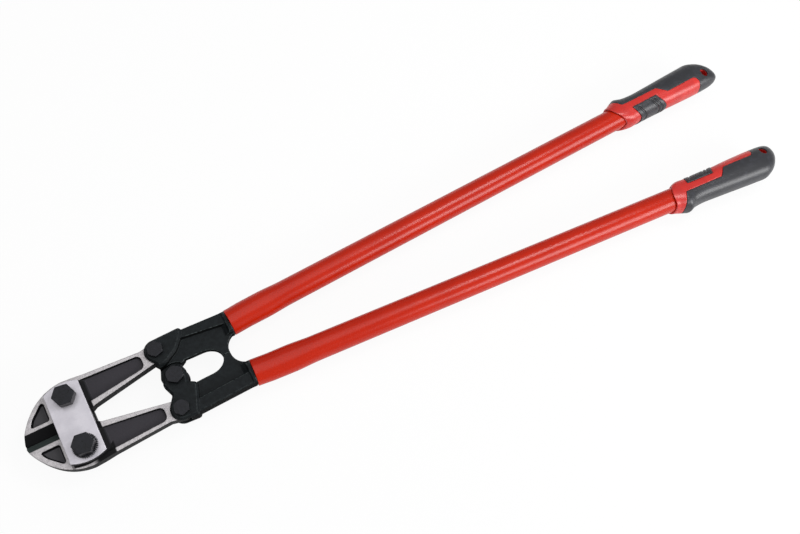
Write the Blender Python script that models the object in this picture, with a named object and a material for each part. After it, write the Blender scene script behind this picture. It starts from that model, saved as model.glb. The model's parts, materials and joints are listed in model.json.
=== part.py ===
"""Long-handled bolt cutters, closed, lying flat on their back bolts.

The tool is modelled in metres with +Z up. It lies along X with the jaws at -X and the grips
at +X, and its middle plane is parallel to the ground. Stations along the tool are measured
from the tip of the jaws. The lower jaw, knuckle and handle are the upper ones turned half a
turn about the long axis, which is how the two halves of the centre lap joint meet.
"""

import math

import bmesh
import bpy
from mathutils import Matrix, Vector

# ---------------------------------------------------------------- overall
LENGTH = 1.0600
GAP = 0.0003
ARC_STEP = 10.0
FINE_STEP = 5.0
WELD = 0.00003
# How far a cutter reaches past the faces that it cuts.
BEYOND = 0.004

# ---------------------------------------------------------------- pivots, from the jaw tip
JAW_BOLT_X = 0.0588
JAW_BOLT_Y = 0.0305
HANDLE_BOLT_X = 0.1668
HANDLE_BOLT_Y = 0.0384
CENTRE_BOLT_X = 0.1751
# How far one lug wanders from the other when both handles follow the jaws at one fixed ratio.
CENTRE_PLAY = 0.0039

# ---------------------------------------------------------------- jaws
JAW_THICKNESS = 0.015
JAW_HALF_WIDTH = 0.0523
JAW_CROWN_X = 0.0585
JAW_SHOULDER_X = 0.0700
JAW_SHOULDER_Y = 0.0516
JAW_BROW_X = 0.0400
JAW_BROW_Y = 0.0482
JAW_CHEEK_X = 0.0230
JAW_CHEEK_Y = 0.0377
JAW_NOSE_X = 0.0082
JAW_NOSE_Y = 0.0203
JAW_TIP_HEIGHT = 0.0030
BEVEL_FRONT = 0.0125
BEVEL_BACK = 0.0086
BLADE_LENGTH = 0.044
EDGE_LAND = 0.0008
RELIEF_RUN = 0.0020
RELIEF_DROP = 0.0024
RELIEF_END = 0.0040
RECESS_DEPTH = 0.004
RECESS_DRAFT = 0.0006
SHOULDER_RUN = 0.0090
ARM_START_X = 0.083
ARM_START_Y = 0.0104
ARM_SLOPE = 10.9
ARM_RIM_INNER = 0.0062
ARM_OUTER_START = 0.0501
ARM_OUTER_END_X = 0.150
ARM_OUTER_END = 0.0463
ARM_RIM_OUTER = 0.0056
TANG_RADIUS = 0.0117
TANG_MARGIN = 0.0013
ARM_HOLLOW_END = 0.1478
ARM_HOLLOW_TAPER = 0.0024
ARM_HOLLOW_CORNER = 0.0025
ARM_HOLLOW_ROUND = 0.0060
# Each face's nose hollow lies this far from the mean place, away from the deeper bevel.
NOSE_SHIFT = 0.0012
# The hollow in the nose of the jaw: corners as (x, y, radius).
NOSE_HOLLOW = (
    (0.0122, 0.0151, 0.0016),
    (0.0336, 0.0151, 0.0026),
    (0.0336, 0.0385, 0.0024),
    (0.0292, 0.0360, 0.0060),
    (0.0165, 0.0235, 0.0200),
)

# ---------------------------------------------------------------- side plates
PLATE_FRONT_X = 0.0374
PLATE_REAR_X = 0.0775
PLATE_THICKNESS = 0.0085
PLATE_FRONT_Y = 0.0423
PLATE_REAR_Y = 0.0438
PLATE_CROWN_X = 0.0555
PLATE_CROWN_Y = 0.0474
PLATE_EDGE = 0.0006

# ---------------------------------------------------------------- bolts, washers and nuts
JAW_BOLT_RADIUS = 0.0070
JAW_BOLT_FLATS = 0.0220
JAW_HEAD_HEIGHT = 0.0104
JAW_HEAD_TURN = -8.0
JAW_WASHER_RADIUS = 0.0108
JAW_WASHER_THICKNESS = 0.0012
SERRATED_RADIUS = 0.0140
SERRATED_THICKNESS = 0.0040
SERRATION_DEPTH = 0.0014
SERRATION_COUNT = 39
JAW_NUT_HEIGHT = 0.0110
HANDLE_BOLT_RADIUS = 0.0050
HANDLE_BOLT_FLATS = 0.0170
HANDLE_HEAD_HEIGHT = 0.0048
HANDLE_HEAD_TURN = 18.0
HANDLE_WASHER_RADIUS = 0.0086
HANDLE_WASHER_THICKNESS = 0.0022
HANDLE_NUT_HEIGHT = 0.0080
CENTRE_BOLT_RADIUS = 0.0060
CENTRE_BOLT_FLATS = 0.0190
CENTRE_HEAD_HEIGHT = 0.0065
CENTRE_HEAD_TURN = 24.0
CENTRE_WASHER_RADIUS = 0.0145
CENTRE_WASHER_THICKNESS = 0.0020
CENTRE_NUT_HEIGHT = 0.0095
THREAD_END = 0.0022
HEX_CHAMFER = 22.0
HEX_FACE = 0.98
SHANK_CHAMFER = 0.0010
WASHER_EDGE = 0.0003
NUT_TURN = 15.0

# ---------------------------------------------------------------- knuckles
PAD_HALF = 0.0130
PAD_CHAMFER_WIDTH = 0.0028
PAD_CHAMFER_HEIGHT = 0.0030
PAD_CORNER = 0.0036
RIDGE_HALF = 0.0100
WEB_HALF = 0.0045
EAR_RADIUS = 0.0136
LUG_RADIUS = 0.0134
PAD_OUTER_Y = 0.0530
# The front pad's tail behind the ear, as (x, y, radius): long on the upper knuckle only.
LONG_TAIL = ((0.0140, 0.0285, 0.0300), (0.0262, 0.0440, 0.0100), (0.0280, PAD_OUTER_Y, PAD_CORNER))
SHORT_TAIL = ((0.0052, 0.0290, 0.0080), (0.0098, PAD_OUTER_Y, PAD_CORNER))
RIDGE_OUTER_FRONT = 0.0502
RIDGE_OUTER_REAR = 0.0483
RIDGE_INNER_FRONT = 0.0362
RIDGE_INNER_REAR = 0.0332
RIDGE_DRAFT = 0.0016
# The front face's ridge starts this much narrower than the back face's.
RIDGE_NARROWED = 0.0056
RIDGE_START = 0.0090
STOP_FRONT = 0.0582
STOP_REAR = 0.0680
OVAL_HALF_HEIGHT = 0.0150
OVAL_CENTRE = 0.0389
REAR_HOLLOW_RADIUS = 0.0182
REAR_HOLLOW_X = 0.0860
REAR_HOLLOW_Y = 0.0020
FERRULE_FRONT = 0.0712
FERRULE_REAR = 0.0835
FERRULE_INNER_Y = 0.0202
FERRULE_HALF = 0.0120
FERRULE_SLOPE = 0.0050
FERRULE_EDGE = 0.0028
SEAM_INSET = 0.0010
RIDGE_EDGE = 0.0012
SHANK_LENGTH = 0.034
SHANK_WIDTH = 0.022
SHANK_THICKNESS = 0.018
SHANK_CORNER = 0.004
SLOT_OPENED = 42.4
LAP_MARGIN = 0.0014

# ---------------------------------------------------------------- handles
HANDLE_ANGLE = 3.39
AXIS_Y_AT_TIP = 0.02046
TUBE_FRONT_X = 0.2570
TUBE_RADIUS = 0.0160
TUBE_WALL = 0.0022
FORMED_WIDTH_FRONT = 0.0335
FORMED_WIDTH_PEAK = 0.0345
FORMED_THICKNESS = 0.0300
FORMED_PEAK_AT = 0.046
FORMED_END_AT = 0.078
FORMED_OFFSET = 0.0008
TUBE_SIDES = 32

# ---------------------------------------------------------------- grips, measured along the handle
GRIP_REACH = 0.1930
GRIP_TWIST = -11.0
SEAM_SLOPE = 0.40
SEAM_CURVE = 0.0055
SEAM_FADE = 0.040
TUBE_IN_GRIP = 0.095
GRIP_SIDES = 36
GRIP_SQUARENESS = 2.3
SKIN = 0.0024
PALM_BEYOND = 0.0200
CORE_TAIL_START = 0.1010
CORE_TAIL_INSET = 0.0060
INSERT_RAISE = 0.0009
INSERT_START = 0.0298
INSERT_END = 0.0742
INSERT_BOW_FRONT = 0.0095
INSERT_BOW_REAR = 0.0130
INSERT_BOW_HALF = 0.0180
INSERT_EDGE = -0.0060
INSERT_DEPTH = 0.0012
GROOVE_WIDTH = 0.0026
GROOVE_DEPTH = 0.0012
GROOVE_MARGIN = 0.0026
GROOVE_STATIONS = (0.0068, 0.0300, 0.0358)
HANG_HOLE_FROM_END = 0.0240
HANG_HOLE_OFFSET = -0.0090
HANG_HOLE_LENGTH = 0.0105
HANG_HOLE_WIDTH = 0.0130

# Shape of the grip near the seam: distance from the seam, then how far the palm side, the
# finger side and the two faces stand out from the tube.
GRIP_FRONT = (
    (0.0000, 0.0024, 0.0024, 0.0020),
    (0.0045, 0.0036, 0.0040, 0.0024),
    (0.0100, 0.0064, 0.0050, 0.0026),
    (0.0148, 0.0086, 0.0053, 0.0027),
    (0.0182, 0.0099, 0.0053, 0.0027),
    (0.0224, 0.0090, 0.0051, 0.0025),
    (0.0300, 0.0064, 0.0047, 0.0022),
    (0.0470, 0.0044, 0.0043, 0.0020),
    (0.0770, 0.0050, 0.0050, 0.0022),
    (0.1080, 0.0062, 0.0066, 0.0026),
)
# The grip where its rear end starts to round: how far the same three stand out.
GRIP_FULL = (0.0076, 0.0079, 0.0024)
# The rear end's stations from its tip, and at each one how much of that section is left on the
# palm side, the finger side and the faces.
GRIP_REAR_FROM_END = (
    0.0495, 0.0340, 0.0280, 0.0195, 0.0130, 0.0072, 0.0032, 0.0010, 0.0000,
)
GRIP_REAR_SHARES = (
    (0.992, 0.996, 1.022),
    (1.000, 1.000, 1.000),
    (0.924, 1.000, 0.973),
    (0.746, 0.992, 0.902),
    (0.517, 0.962, 0.793),
    (0.254, 0.904, 0.620),
    (-0.008, 0.812, 0.413),
    (-0.229, 0.720, 0.250),
    (-0.415, 0.628, 0.098),
)

# ---------------------------------------------------------------- values that follow
JAW_HALF = JAW_THICKNESS / 2
FORK_HALF = JAW_HALF + GAP
PLATE_INNER = JAW_HALF + GAP
PLATE_OUTER = PLATE_INNER + PLATE_THICKNESS
JAW_NUT_BACK = PLATE_OUTER + GAP + JAW_NUT_HEIGHT
MIDDLE_Z = JAW_NUT_BACK + THREAD_END
TIP_X = -LENGTH / 2
LAP_GAP = GAP / 2
COS_HANDLE = math.cos(math.radians(HANDLE_ANGLE))
TAN_HANDLE = math.tan(math.radians(HANDLE_ANGLE))
SIN_HANDLE = math.sin(math.radians(HANDLE_ANGLE))
GRIP_SEAM_X = LENGTH - GRIP_REACH
END_FINGER = (TUBE_RADIUS + GRIP_FULL[1]) * GRIP_REAR_SHARES[-1][1] * math.cos(math.radians(GRIP_TWIST))
GRIP_LENGTH = (GRIP_REACH - END_FINGER * SIN_HANDLE) / COS_HANDLE
SEAM_AT = (GRIP_SEAM_X - TUBE_FRONT_X) / COS_HANDLE
TUBE_LENGTH = SEAM_AT + TUBE_IN_GRIP
HANG_HOLE_AT = GRIP_LENGTH - HANG_HOLE_FROM_END
# Edge of the black overmould on the faces, as (distance from the seam, across).
PALM_EDGE = (
    (-PALM_BEYOND, 0.0560),
    (0.0080, 0.0270),
    (0.0190, 0.0052),
    (0.0826, 0.0044),
    (0.0950, -0.0090),
    (GRIP_LENGTH - 0.0465, -0.0090),
    (GRIP_LENGTH - 0.0425, -0.0120),
    (GRIP_LENGTH - 0.0398, -0.0180),
    (GRIP_LENGTH - 0.0425, -0.0300),
    (GRIP_LENGTH - 0.0425, -0.0400),
    (GRIP_LENGTH + PALM_BEYOND, -0.0400),
    (GRIP_LENGTH + PALM_BEYOND, 0.0560),
)

HANDLE_PIVOT = Vector((HANDLE_BOLT_X, HANDLE_BOLT_Y))
EAR_DX = HANDLE_BOLT_X - CENTRE_BOLT_X


# ================================================================ outlines
def arc(centre_x, centre_y, radius, start, end, step=ARC_STEP):
    """Points on an arc from one angle to another, in degrees."""
    count = max(2, math.ceil(abs(end - start) / step) + 1)
    points = []
    for index in range(count):
        angle = math.radians(start + (end - start) * index / (count - 1))
        points.append((centre_x + radius * math.cos(angle), centre_y + radius * math.sin(angle)))
    return points


def arc_through(first, middle, last, step=ARC_STEP):
    """Points on the arc that starts at first, passes middle and ends at last."""
    (ax, ay), (bx, by), (cx, cy) = first, middle, last
    scale = 2 * (ax * (by - cy) + bx * (cy - ay) + cx * (ay - by))
    a2, b2, c2 = ax * ax + ay * ay, bx * bx + by * by, cx * cx + cy * cy
    ux = (a2 * (by - cy) + b2 * (cy - ay) + c2 * (ay - by)) / scale
    uy = (a2 * (cx - bx) + b2 * (ax - cx) + c2 * (bx - ax)) / scale
    angles = [math.degrees(math.atan2(y - uy, x - ux)) for x, y in (first, middle, last)]
    turn = 360.0 if scale > 0 else -360.0
    sweep = (angles[2] - angles[0]) % turn
    return arc(ux, uy, math.hypot(ax - ux, ay - uy), angles[0], angles[0] + sweep, step)


def rounded(corners, step=ARC_STEP):
    """Outline through corners given as (x, y, radius), each rounded by its own radius."""
    points = []
    count = len(corners)
    for index, (x, y, radius) in enumerate(corners):
        here = Vector((x, y))
        before = (Vector(corners[index - 1][:2]) - here).normalized()
        after = (Vector(corners[(index + 1) % count][:2]) - here).normalized()
        if radius <= 0:
            points.append((x, y))
            continue
        half = before.angle(after) / 2
        reach = radius / math.tan(half)
        centre = here + (before + after).normalized() * (radius / math.sin(half))
        start = here + before * reach - centre
        end = here + after * reach - centre
        first = math.degrees(math.atan2(start.y, start.x))
        sweep = (math.degrees(math.atan2(end.y, end.x)) - first + 180) % 360 - 180
        points.extend(arc(centre.x, centre.y, radius, first, first + sweep, step))
    return points


def offset(outline, distance):
    """Outline moved outward by distance. It runs counter-clockwise."""
    moved = []
    count = len(outline)
    for index in range(count):
        here = Vector(outline[index])
        before = (here - Vector(outline[index - 1])).normalized()
        after = (Vector(outline[(index + 1) % count]) - here).normalized()
        normal_before = Vector((before.y, -before.x))
        normal_after = Vector((after.y, -after.x))
        middle = (normal_before + normal_after).normalized()
        moved.append(tuple(here + middle * (distance / middle.dot(normal_after))))
    return moved


# ================================================================ solids
def add_object(name, mesh):
    """Link a new object for a mesh to the scene."""
    item = bpy.data.objects.new(name, mesh)
    bpy.context.scene.collection.objects.link(item)
    return item


def loft(name, rings, looped=False):
    """Closed solid through rings of points with one count, capped or joined end to end."""
    build = bmesh.new()
    rows = [[build.verts.new(point) for point in ring] for ring in rings]
    uppers = rows[1:] + rows[:1] if looped else rows[1:]
    for lower, upper in zip(rows, uppers):
        for index in range(len(lower)):
            following = (index + 1) % len(lower)
            build.faces.new((lower[index], lower[following], upper[following], upper[index]))
    if not looped:
        build.faces.new(list(reversed(rows[0])))
        build.faces.new(rows[-1])
    bmesh.ops.recalc_face_normals(build, faces=build.faces)
    mesh = bpy.data.meshes.new(name)
    build.to_mesh(mesh)
    build.free()
    return add_object(name, mesh)


def stack(name, layers):
    """Solid through flat outlines, each given as (outline, height)."""
    return loft(name, [[(x, y, z) for x, y in outline] for outline, z in layers])


def prism(name, outline, bottom, top):
    """Solid with straight sides between two heights."""
    return stack(name, [(outline, bottom), (outline, top)])


def turned(name, x, y, profile, sides=24):
    """Solid of revolution about an upright axis at x, y. The profile is (radius, z) pairs."""
    rings = []
    for radius, z in profile:
        ring = []
        for index in range(sides):
            angle = 2 * math.pi * index / sides
            ring.append((x + radius * math.cos(angle), y + radius * math.sin(angle), z))
        rings.append(ring)
    return loft(name, rings)


def bake(item):
    """Replace an object's mesh by its evaluated one, with no modifiers left."""
    graph = bpy.context.evaluated_depsgraph_get()
    mesh = bpy.data.meshes.new_from_object(item.evaluated_get(graph))
    item.modifiers.clear()
    item.data = mesh


def combine(target, tool, operation):
    """Apply one exact boolean and remove the tool object."""
    modifier = target.modifiers.new(operation.title(), "BOOLEAN")
    modifier.operation = operation
    modifier.solver = "EXACT"
    modifier.object = tool
    bpy.context.view_layer.update()
    bake(target)
    bpy.data.objects.remove(tool)


def cut(target, tool):
    """Take the tool's volume out of the target."""
    combine(target, tool, "DIFFERENCE")


def join(target, tool):
    """Add the tool's volume to the target."""
    combine(target, tool, "UNION")


def drill(target, x, y, radius, bottom, top, sides=24):
    """Round hole along Z."""
    cut(target, turned("drill", x, y, [(radius, bottom), (radius, top)], sides))


def half_turn(item):
    """Turn the mesh half a turn about the tool's long axis in its middle plane."""
    item.data.transform(Matrix.Rotation(math.pi, 4, "X"))


def weld(item):
    """Merge the points that booleans leave almost on top of each other."""
    build = bmesh.new()
    build.from_mesh(item.data)
    bmesh.ops.remove_doubles(build, verts=build.verts, dist=WELD)
    bmesh.ops.dissolve_degenerate(build, edges=build.edges, dist=WELD)
    build.to_mesh(item.data)
    build.free()


def finish(item, name, surface, pivot, smooth=35.0):
    """Name the object, move it from tool stations to the scene and set its origin on its pivot."""
    weld(item)
    item.name = name
    item.data.name = name
    origin = Vector((pivot[0], pivot[1], 0.0))
    item.data.transform(Matrix.Translation(-origin))
    item.location = origin + Vector((TIP_X, 0.0, MIDDLE_Z))
    item.data.materials.clear()
    item.data.materials.append(surface)
    for polygon in item.data.polygons:
        polygon.material_index = 0
    item.data.shade_smooth()
    item.data.set_sharp_from_angle(angle=math.radians(smooth))
    return item


def material(name, colour, roughness, metallic):
    """Principled material for one kind of surface."""
    made = bpy.data.materials.new(name)
    made.use_nodes = True
    shader = made.node_tree.nodes["Principled BSDF"]
    shader.inputs["Base Color"].default_value = (*colour, 1.0)
    shader.inputs["Roughness"].default_value = roughness
    shader.inputs["Metallic"].default_value = metallic
    made.diffuse_color = (*colour, 1.0)
    return made


# ================================================================ jaws and side plates
def arm_inner(x):
    """Y of the arm's inner edge at a station."""
    return ARM_START_Y + (x - ARM_START_X) * math.tan(math.radians(ARM_SLOPE))


def arm_outer(x):
    """Y of the arm's outer edge at a station."""
    share = (x - ARM_START_X) / (ARM_OUTER_END_X - ARM_START_X)
    return ARM_OUTER_START + (ARM_OUTER_END - ARM_OUTER_START) * share


def jaw_outline():
    """Outline of the upper jaw, from the nose along the cutting edge and back round."""
    half_gap = GAP / 2
    relief_x = BLADE_LENGTH + RELIEF_RUN
    relief_y = ARM_START_Y - RELIEF_DROP
    crown = (JAW_CROWN_X, JAW_HALF_WIDTH)
    cheek = (JAW_CHEEK_X, JAW_CHEEK_Y)
    tang = arc(HANDLE_BOLT_X, HANDLE_BOLT_Y, TANG_RADIUS, ARM_SLOPE - 90.0, 100.0)
    face = arc_through(crown, (JAW_BROW_X, JAW_BROW_Y), cheek, FINE_STEP)
    nose = arc_through(cheek, (JAW_NOSE_X, JAW_NOSE_Y), (0.0, JAW_TIP_HEIGHT), FINE_STEP)
    return [
        (0.0, half_gap),
        (BLADE_LENGTH, half_gap),
        (relief_x, relief_y),
        (ARM_START_X - RELIEF_END, relief_y),
        (ARM_START_X, ARM_START_Y),
        *tang,
        (ARM_OUTER_END_X, ARM_OUTER_END),
        (ARM_START_X, ARM_OUTER_START),
        (JAW_SHOULDER_X, JAW_SHOULDER_Y),
        *face,
        *nose[1:],
    ]


def arm_recess(grow, shoulder):
    """Outline of the hollow in the arm, grown all round and lengthened at its front."""
    front = ARM_START_X - shoulder
    rear = ARM_HOLLOW_END
    low = arm_inner(rear) + ARM_RIM_INNER - ARM_HOLLOW_TAPER
    high = arm_outer(rear) - ARM_RIM_OUTER + ARM_HOLLOW_TAPER / 2
    corners = [
        (front, arm_inner(ARM_START_X) + ARM_RIM_INNER, ARM_HOLLOW_CORNER),
        (rear, low, ARM_HOLLOW_ROUND),
        (rear, high, ARM_HOLLOW_ROUND),
        (front, arm_outer(front) - ARM_RIM_OUTER, ARM_HOLLOW_CORNER),
    ]
    return offset(rounded(corners), grow)


def nose_recess(grow, shift):
    """Outline of the three-sided hollow in the front of the jaw, moved across by a shift."""
    moved = [(x, y + shift, radius) for x, y, radius in NOSE_HOLLOW]
    return offset(rounded(moved), grow)


def build_jaw():
    """One jaw: blade, eye for the jaw bolt, hollowed arm and eye for the handle bolt."""
    jaw = prism("jaw", jaw_outline(), -JAW_HALF, JAW_HALF)
    half_gap = GAP / 2
    rise = JAW_HALF - EDGE_LAND / 2
    for side, run in ((1, BEVEL_FRONT), (-1, BEVEL_BACK)):
        section = [
            (half_gap + run * (1 + BEYOND / rise), side * (JAW_HALF + BEYOND)),
            (half_gap - run * BEYOND / rise, side * (EDGE_LAND / 2 - BEYOND)),
            (-2 * run, side * (JAW_HALF + BEYOND)),
        ]
        ends = (-BEYOND, BLADE_LENGTH + 0.75 * RELIEF_RUN)
        rings = [[(x, y, z) for y, z in section] for x in ends]
        cut(jaw, loft("bevel", rings))
        floor = side * (JAW_HALF - RECESS_DEPTH)
        above = side * (JAW_HALF + BEYOND / 4)
        draft = RECESS_DRAFT
        arm_layers = [(arm_recess(0.0, 0.0), floor), (arm_recess(draft, SHOULDER_RUN), above)]
        cut(jaw, stack("arm hollow", arm_layers))
        nose_shift = side * NOSE_SHIFT
        nose_layers = [
            (nose_recess(0.0, nose_shift), floor),
            (nose_recess(draft, nose_shift), above),
        ]
        cut(jaw, stack("nose hollow", nose_layers))
    drill(jaw, JAW_BOLT_X, JAW_BOLT_Y, JAW_BOLT_RADIUS + GAP, -2 * JAW_HALF, 2 * JAW_HALF)
    drill(jaw, *HANDLE_PIVOT, HANDLE_BOLT_RADIUS + GAP, -2 * JAW_HALF, 2 * JAW_HALF)
    return jaw


def build_plate(side):
    """One side plate, with straight ends and bowed top and bottom edges."""
    top = arc_through((PLATE_REAR_X, PLATE_REAR_Y), (PLATE_CROWN_X, PLATE_CROWN_Y),
                      (PLATE_FRONT_X, PLATE_FRONT_Y), 5.0)
    bottom = [(x, -y) for x, y in reversed(top)]
    outline = bottom + top
    low, high = sorted((side * PLATE_INNER, side * PLATE_OUTER))
    plate = stack("plate", [
        (offset(outline, -PLATE_EDGE), low),
        (outline, low + PLATE_EDGE),
        (outline, high - PLATE_EDGE),
        (offset(outline, -PLATE_EDGE), high),
    ])
    for y in (JAW_BOLT_Y, -JAW_BOLT_Y):
        drill(plate, JAW_BOLT_X, y, JAW_BOLT_RADIUS + GAP, low - BEYOND, high + BEYOND)
    return plate


# ================================================================ bolts, nuts and washers
def hexagon(x, y, flats, turn):
    """Six-sided outline, with one corner turned from +X by some degrees."""
    radius = flats / math.sqrt(3)
    return arc(x, y, radius, turn, turn + 300.0, 60.0)


def chamfered_hex(x, y, flats, turn, bottom, top, both=False):
    """Hexagon whose top corners, and bottom ones if both, are turned to a shallow cone."""
    body = prism("hexagon", hexagon(x, y, flats, turn), bottom, top)
    past = BEYOND / 4
    reach = flats / math.sqrt(3) + past
    slope = math.tan(math.radians(HEX_CHAMFER))
    face = flats / 2 * HEX_FACE
    drop = (reach - face) * slope
    profile = [(reach, bottom - past), (reach, top - drop), (face - past / slope, top + past)]
    if both:
        profile = [(face - past / slope, bottom - past), (reach, bottom + drop), *profile[1:]]
    combine(body, turned("cone", x, y, profile, 36), "INTERSECT")
    return body


def build_bolt(x, y, radius, flats, turn, seat, head, end):
    """Hex bolt with its head's underside at seat and its shank running down to end."""
    bolt = chamfered_hex(x, y, flats, turn, seat, seat + head)
    shank = [(radius - SHANK_CHAMFER, end), (radius, end + SHANK_CHAMFER),
             (radius, seat + head / 2)]
    join(bolt, turned("shank", x, y, shank))
    return bolt


def build_nut(x, y, radius, flats, turn, bottom, top):
    """Hex nut with a plain round hole."""
    nut = chamfered_hex(x, y, flats, turn, bottom, top, both=True)
    drill(nut, x, y, radius + GAP, bottom - BEYOND, top + BEYOND)
    return nut


def build_washer(x, y, hole, radius, bottom, top):
    """Plain round washer."""
    inset = radius - WASHER_EDGE
    profile = [(inset, bottom), (radius, bottom + WASHER_EDGE),
               (radius, top - WASHER_EDGE), (inset, top)]
    washer = turned("washer", x, y, profile, 32)
    drill(washer, x, y, hole, bottom - BEYOND, top + BEYOND)
    return washer


def build_serrated_washer(x, y, bottom, top):
    """Washer whose rim is cut into fine teeth that show the bolt's setting."""
    outline = []
    pitch = 360.0 / SERRATION_COUNT
    for index in range(SERRATION_COUNT):
        angle = index * pitch
        outline.extend(arc(x, y, SERRATED_RADIUS, angle, angle + pitch * 0.3, pitch))
        root = SERRATED_RADIUS - SERRATION_DEPTH
        outline.extend(arc(x, y, root, angle + pitch * 0.5, angle + pitch * 0.8, pitch))
    washer = prism("serrated", outline, bottom, top)
    drill(washer, x, y, JAW_BOLT_RADIUS + GAP, bottom - BEYOND, top + BEYOND)
    return washer


# ================================================================ knuckles
def shift(points):
    """Move knuckle points, given from the centre bolt, to tool stations."""
    return [(x + CENTRE_BOLT_X, y) for x, y in points]


def ear_arc(end=214.0):
    """Rounded front of an ear, from its outer side round to its inner side."""
    return arc(EAR_DX, HANDLE_BOLT_Y, EAR_RADIUS, 90.0, end)


def web_outline():
    """Outline of the knuckle's web, from its outer rear corner round to the stop."""
    tip = GAP / 2
    hollow_start = math.degrees(math.asin((tip - REAR_HOLLOW_Y) / REAR_HOLLOW_RADIUS))
    hollow = arc(REAR_HOLLOW_X, REAR_HOLLOW_Y, REAR_HOLLOW_RADIUS, 180.0 - hollow_start, 112.0)
    oval = []
    for angle in range(90, -1, -15):
        span = math.radians(angle)
        x = OVAL_CENTRE + (STOP_FRONT - OVAL_CENTRE) * math.cos(span)
        oval.append((x, tip + (OVAL_HALF_HEIGHT - tip) * math.sin(span)))
    return [
        (FERRULE_REAR - SEAM_INSET, RIDGE_OUTER_REAR - GAP),
        (0.0240, RIDGE_OUTER_FRONT - GAP),
        (EAR_DX, RIDGE_OUTER_FRONT - GAP),
        (EAR_DX - 0.0060, HANDLE_BOLT_Y - 0.0050),
        (-0.0095, 0.0190),
        (-0.0100, 0.0070),
        (0.0060, 0.0050),
        (0.0110, 0.0120),
        (0.0175, OVAL_HALF_HEIGHT + 0.0006),
        *oval,
        *hollow,
        (FERRULE_REAR - SEAM_INSET, FERRULE_INNER_Y - SEAM_INSET),
    ]


def back_pad_outline():
    """Outline of the pad that is ear and lug in one."""
    lug = arc(0.0, 0.0, LUG_RADIUS, 212.0, 360.0)
    corners = [(0.0110, 0.0120, 0.0), (0.0175, 0.0160, 0.0), (0.0194, 0.0200, 0.0)]
    outer = rounded([(0.0194, 0.0200, 0.0), (0.0074, PAD_OUTER_Y, PAD_CORNER),
                     (EAR_DX, PAD_OUTER_Y, 0.0)])[1:-1]
    neck = rounded([(EAR_DX - EAR_RADIUS, 0.0300, 0.0), (-0.0116, 0.0200, 0.0050),
                    (-0.0172, 0.0050, 0.0060), (-0.0120, -0.0060, 0.0)])[1:-1]
    points = [*lug]
    points.extend((x, y) for x, y, _ in corners)
    points.extend(outer)
    points.extend(ear_arc())
    points.extend(neck)
    return points


def front_pad_outline(tail):
    """Outline of the pad that is only an ear, with its tail along the ridge."""
    corners = rounded([
        (-0.0134, 0.0212, 0.0030),
        (-0.0128, 0.0150, PAD_CORNER),
        (-0.0030, 0.0186, 0.0060),
        *tail,
        (EAR_DX, PAD_OUTER_Y, 0.0),
    ])[:-1]
    return ear_arc() + corners


def pad_layers(outline, side):
    """Layers of a pad from the middle plane out to its chamfered face."""
    shoulder = PAD_HALF - PAD_CHAMFER_HEIGHT
    return [
        (outline, -side * WEB_HALF / 2),
        (outline, side * shoulder),
        (offset(outline, -PAD_CHAMFER_WIDTH), side * PAD_HALF),
    ]


def ridge_layers():
    """Layers of the thick ridge along the knuckle's outer edge."""
    def outline(draft, narrowed=0.0):
        return shift([
            (RIDGE_START, RIDGE_INNER_FRONT + narrowed - draft),
            (FERRULE_REAR - 2 * SEAM_INSET, RIDGE_INNER_REAR - draft),
            (FERRULE_REAR - 2 * SEAM_INSET, RIDGE_OUTER_REAR),
            (RIDGE_START, RIDGE_OUTER_FRONT + GAP),
        ])
    def edged(flat):
        return flat[:2] + [(x, y - RIDGE_EDGE) for x, y in flat[2:]]
    back = outline(0.0)
    front = outline(0.0, RIDGE_NARROWED)
    return [
        (edged(back), -RIDGE_HALF),
        (back, RIDGE_EDGE - RIDGE_HALF),
        (outline(RIDGE_DRAFT), -WEB_HALF / 2),
        (outline(RIDGE_DRAFT, RIDGE_NARROWED), WEB_HALF / 2),
        (front, RIDGE_HALF - RIDGE_EDGE),
        (edged(front), RIDGE_HALF),
    ]


def ferrule_layers():
    """Layers of the block that the tube butts against."""
    def outline(slope, inset):
        front = FERRULE_FRONT + slope
        outer = RIDGE_OUTER_REAR + GAP - inset
        inner = FERRULE_INNER_Y + inset
        return shift([(front, inner), (FERRULE_REAR, inner), (FERRULE_REAR, outer), (front, outer)])
    wide = outline(0.0, 0.0)
    sides = outline(FERRULE_SLOPE, 0.0)
    face = outline(FERRULE_SLOPE + FERRULE_EDGE / 2, FERRULE_EDGE)
    shoulder = FERRULE_HALF - FERRULE_EDGE
    return [(face, -FERRULE_HALF), (sides, -shoulder), (wide, -WEB_HALF),
            (wide, WEB_HALF), (sides, shoulder), (face, FERRULE_HALF)]


def fork_slot():
    """Outline of the slot that the jaw's tang turns in, open to the front and outside."""
    radius = TANG_RADIUS + TANG_MARGIN
    eye = arc(EAR_DX, HANDLE_BOLT_Y, radius, ARM_SLOPE - 90.0, SLOT_OPENED)
    first, last = eye[0], eye[-1]
    far = 3 * EAR_RADIUS
    top = PAD_OUTER_Y + 2 * BEYOND
    run = (top - last[1]) / math.tan(math.radians(SLOT_OPENED + 90.0))
    return [
        (first[0] - far, first[1] - far * math.tan(math.radians(ARM_SLOPE))),
        *eye,
        (last[0] + run, top),
        (first[0] - far, top),
    ]


def lap_cut():
    """Outline cleared in front of the lug for the other knuckle's lug to turn in."""
    centre_x = 0.3 * CENTRE_PLAY
    centre_y = 0.85 * CENTRE_PLAY
    radius = LUG_RADIUS + LAP_MARGIN
    far = 3 * LUG_RADIUS
    return [
        (-far, -far),
        (centre_x + radius, -far),
        *arc(centre_x, centre_y, radius, 0.0, 100.0),
        (-0.0125, 0.0160),
        (-far, 0.0160),
    ]


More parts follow.
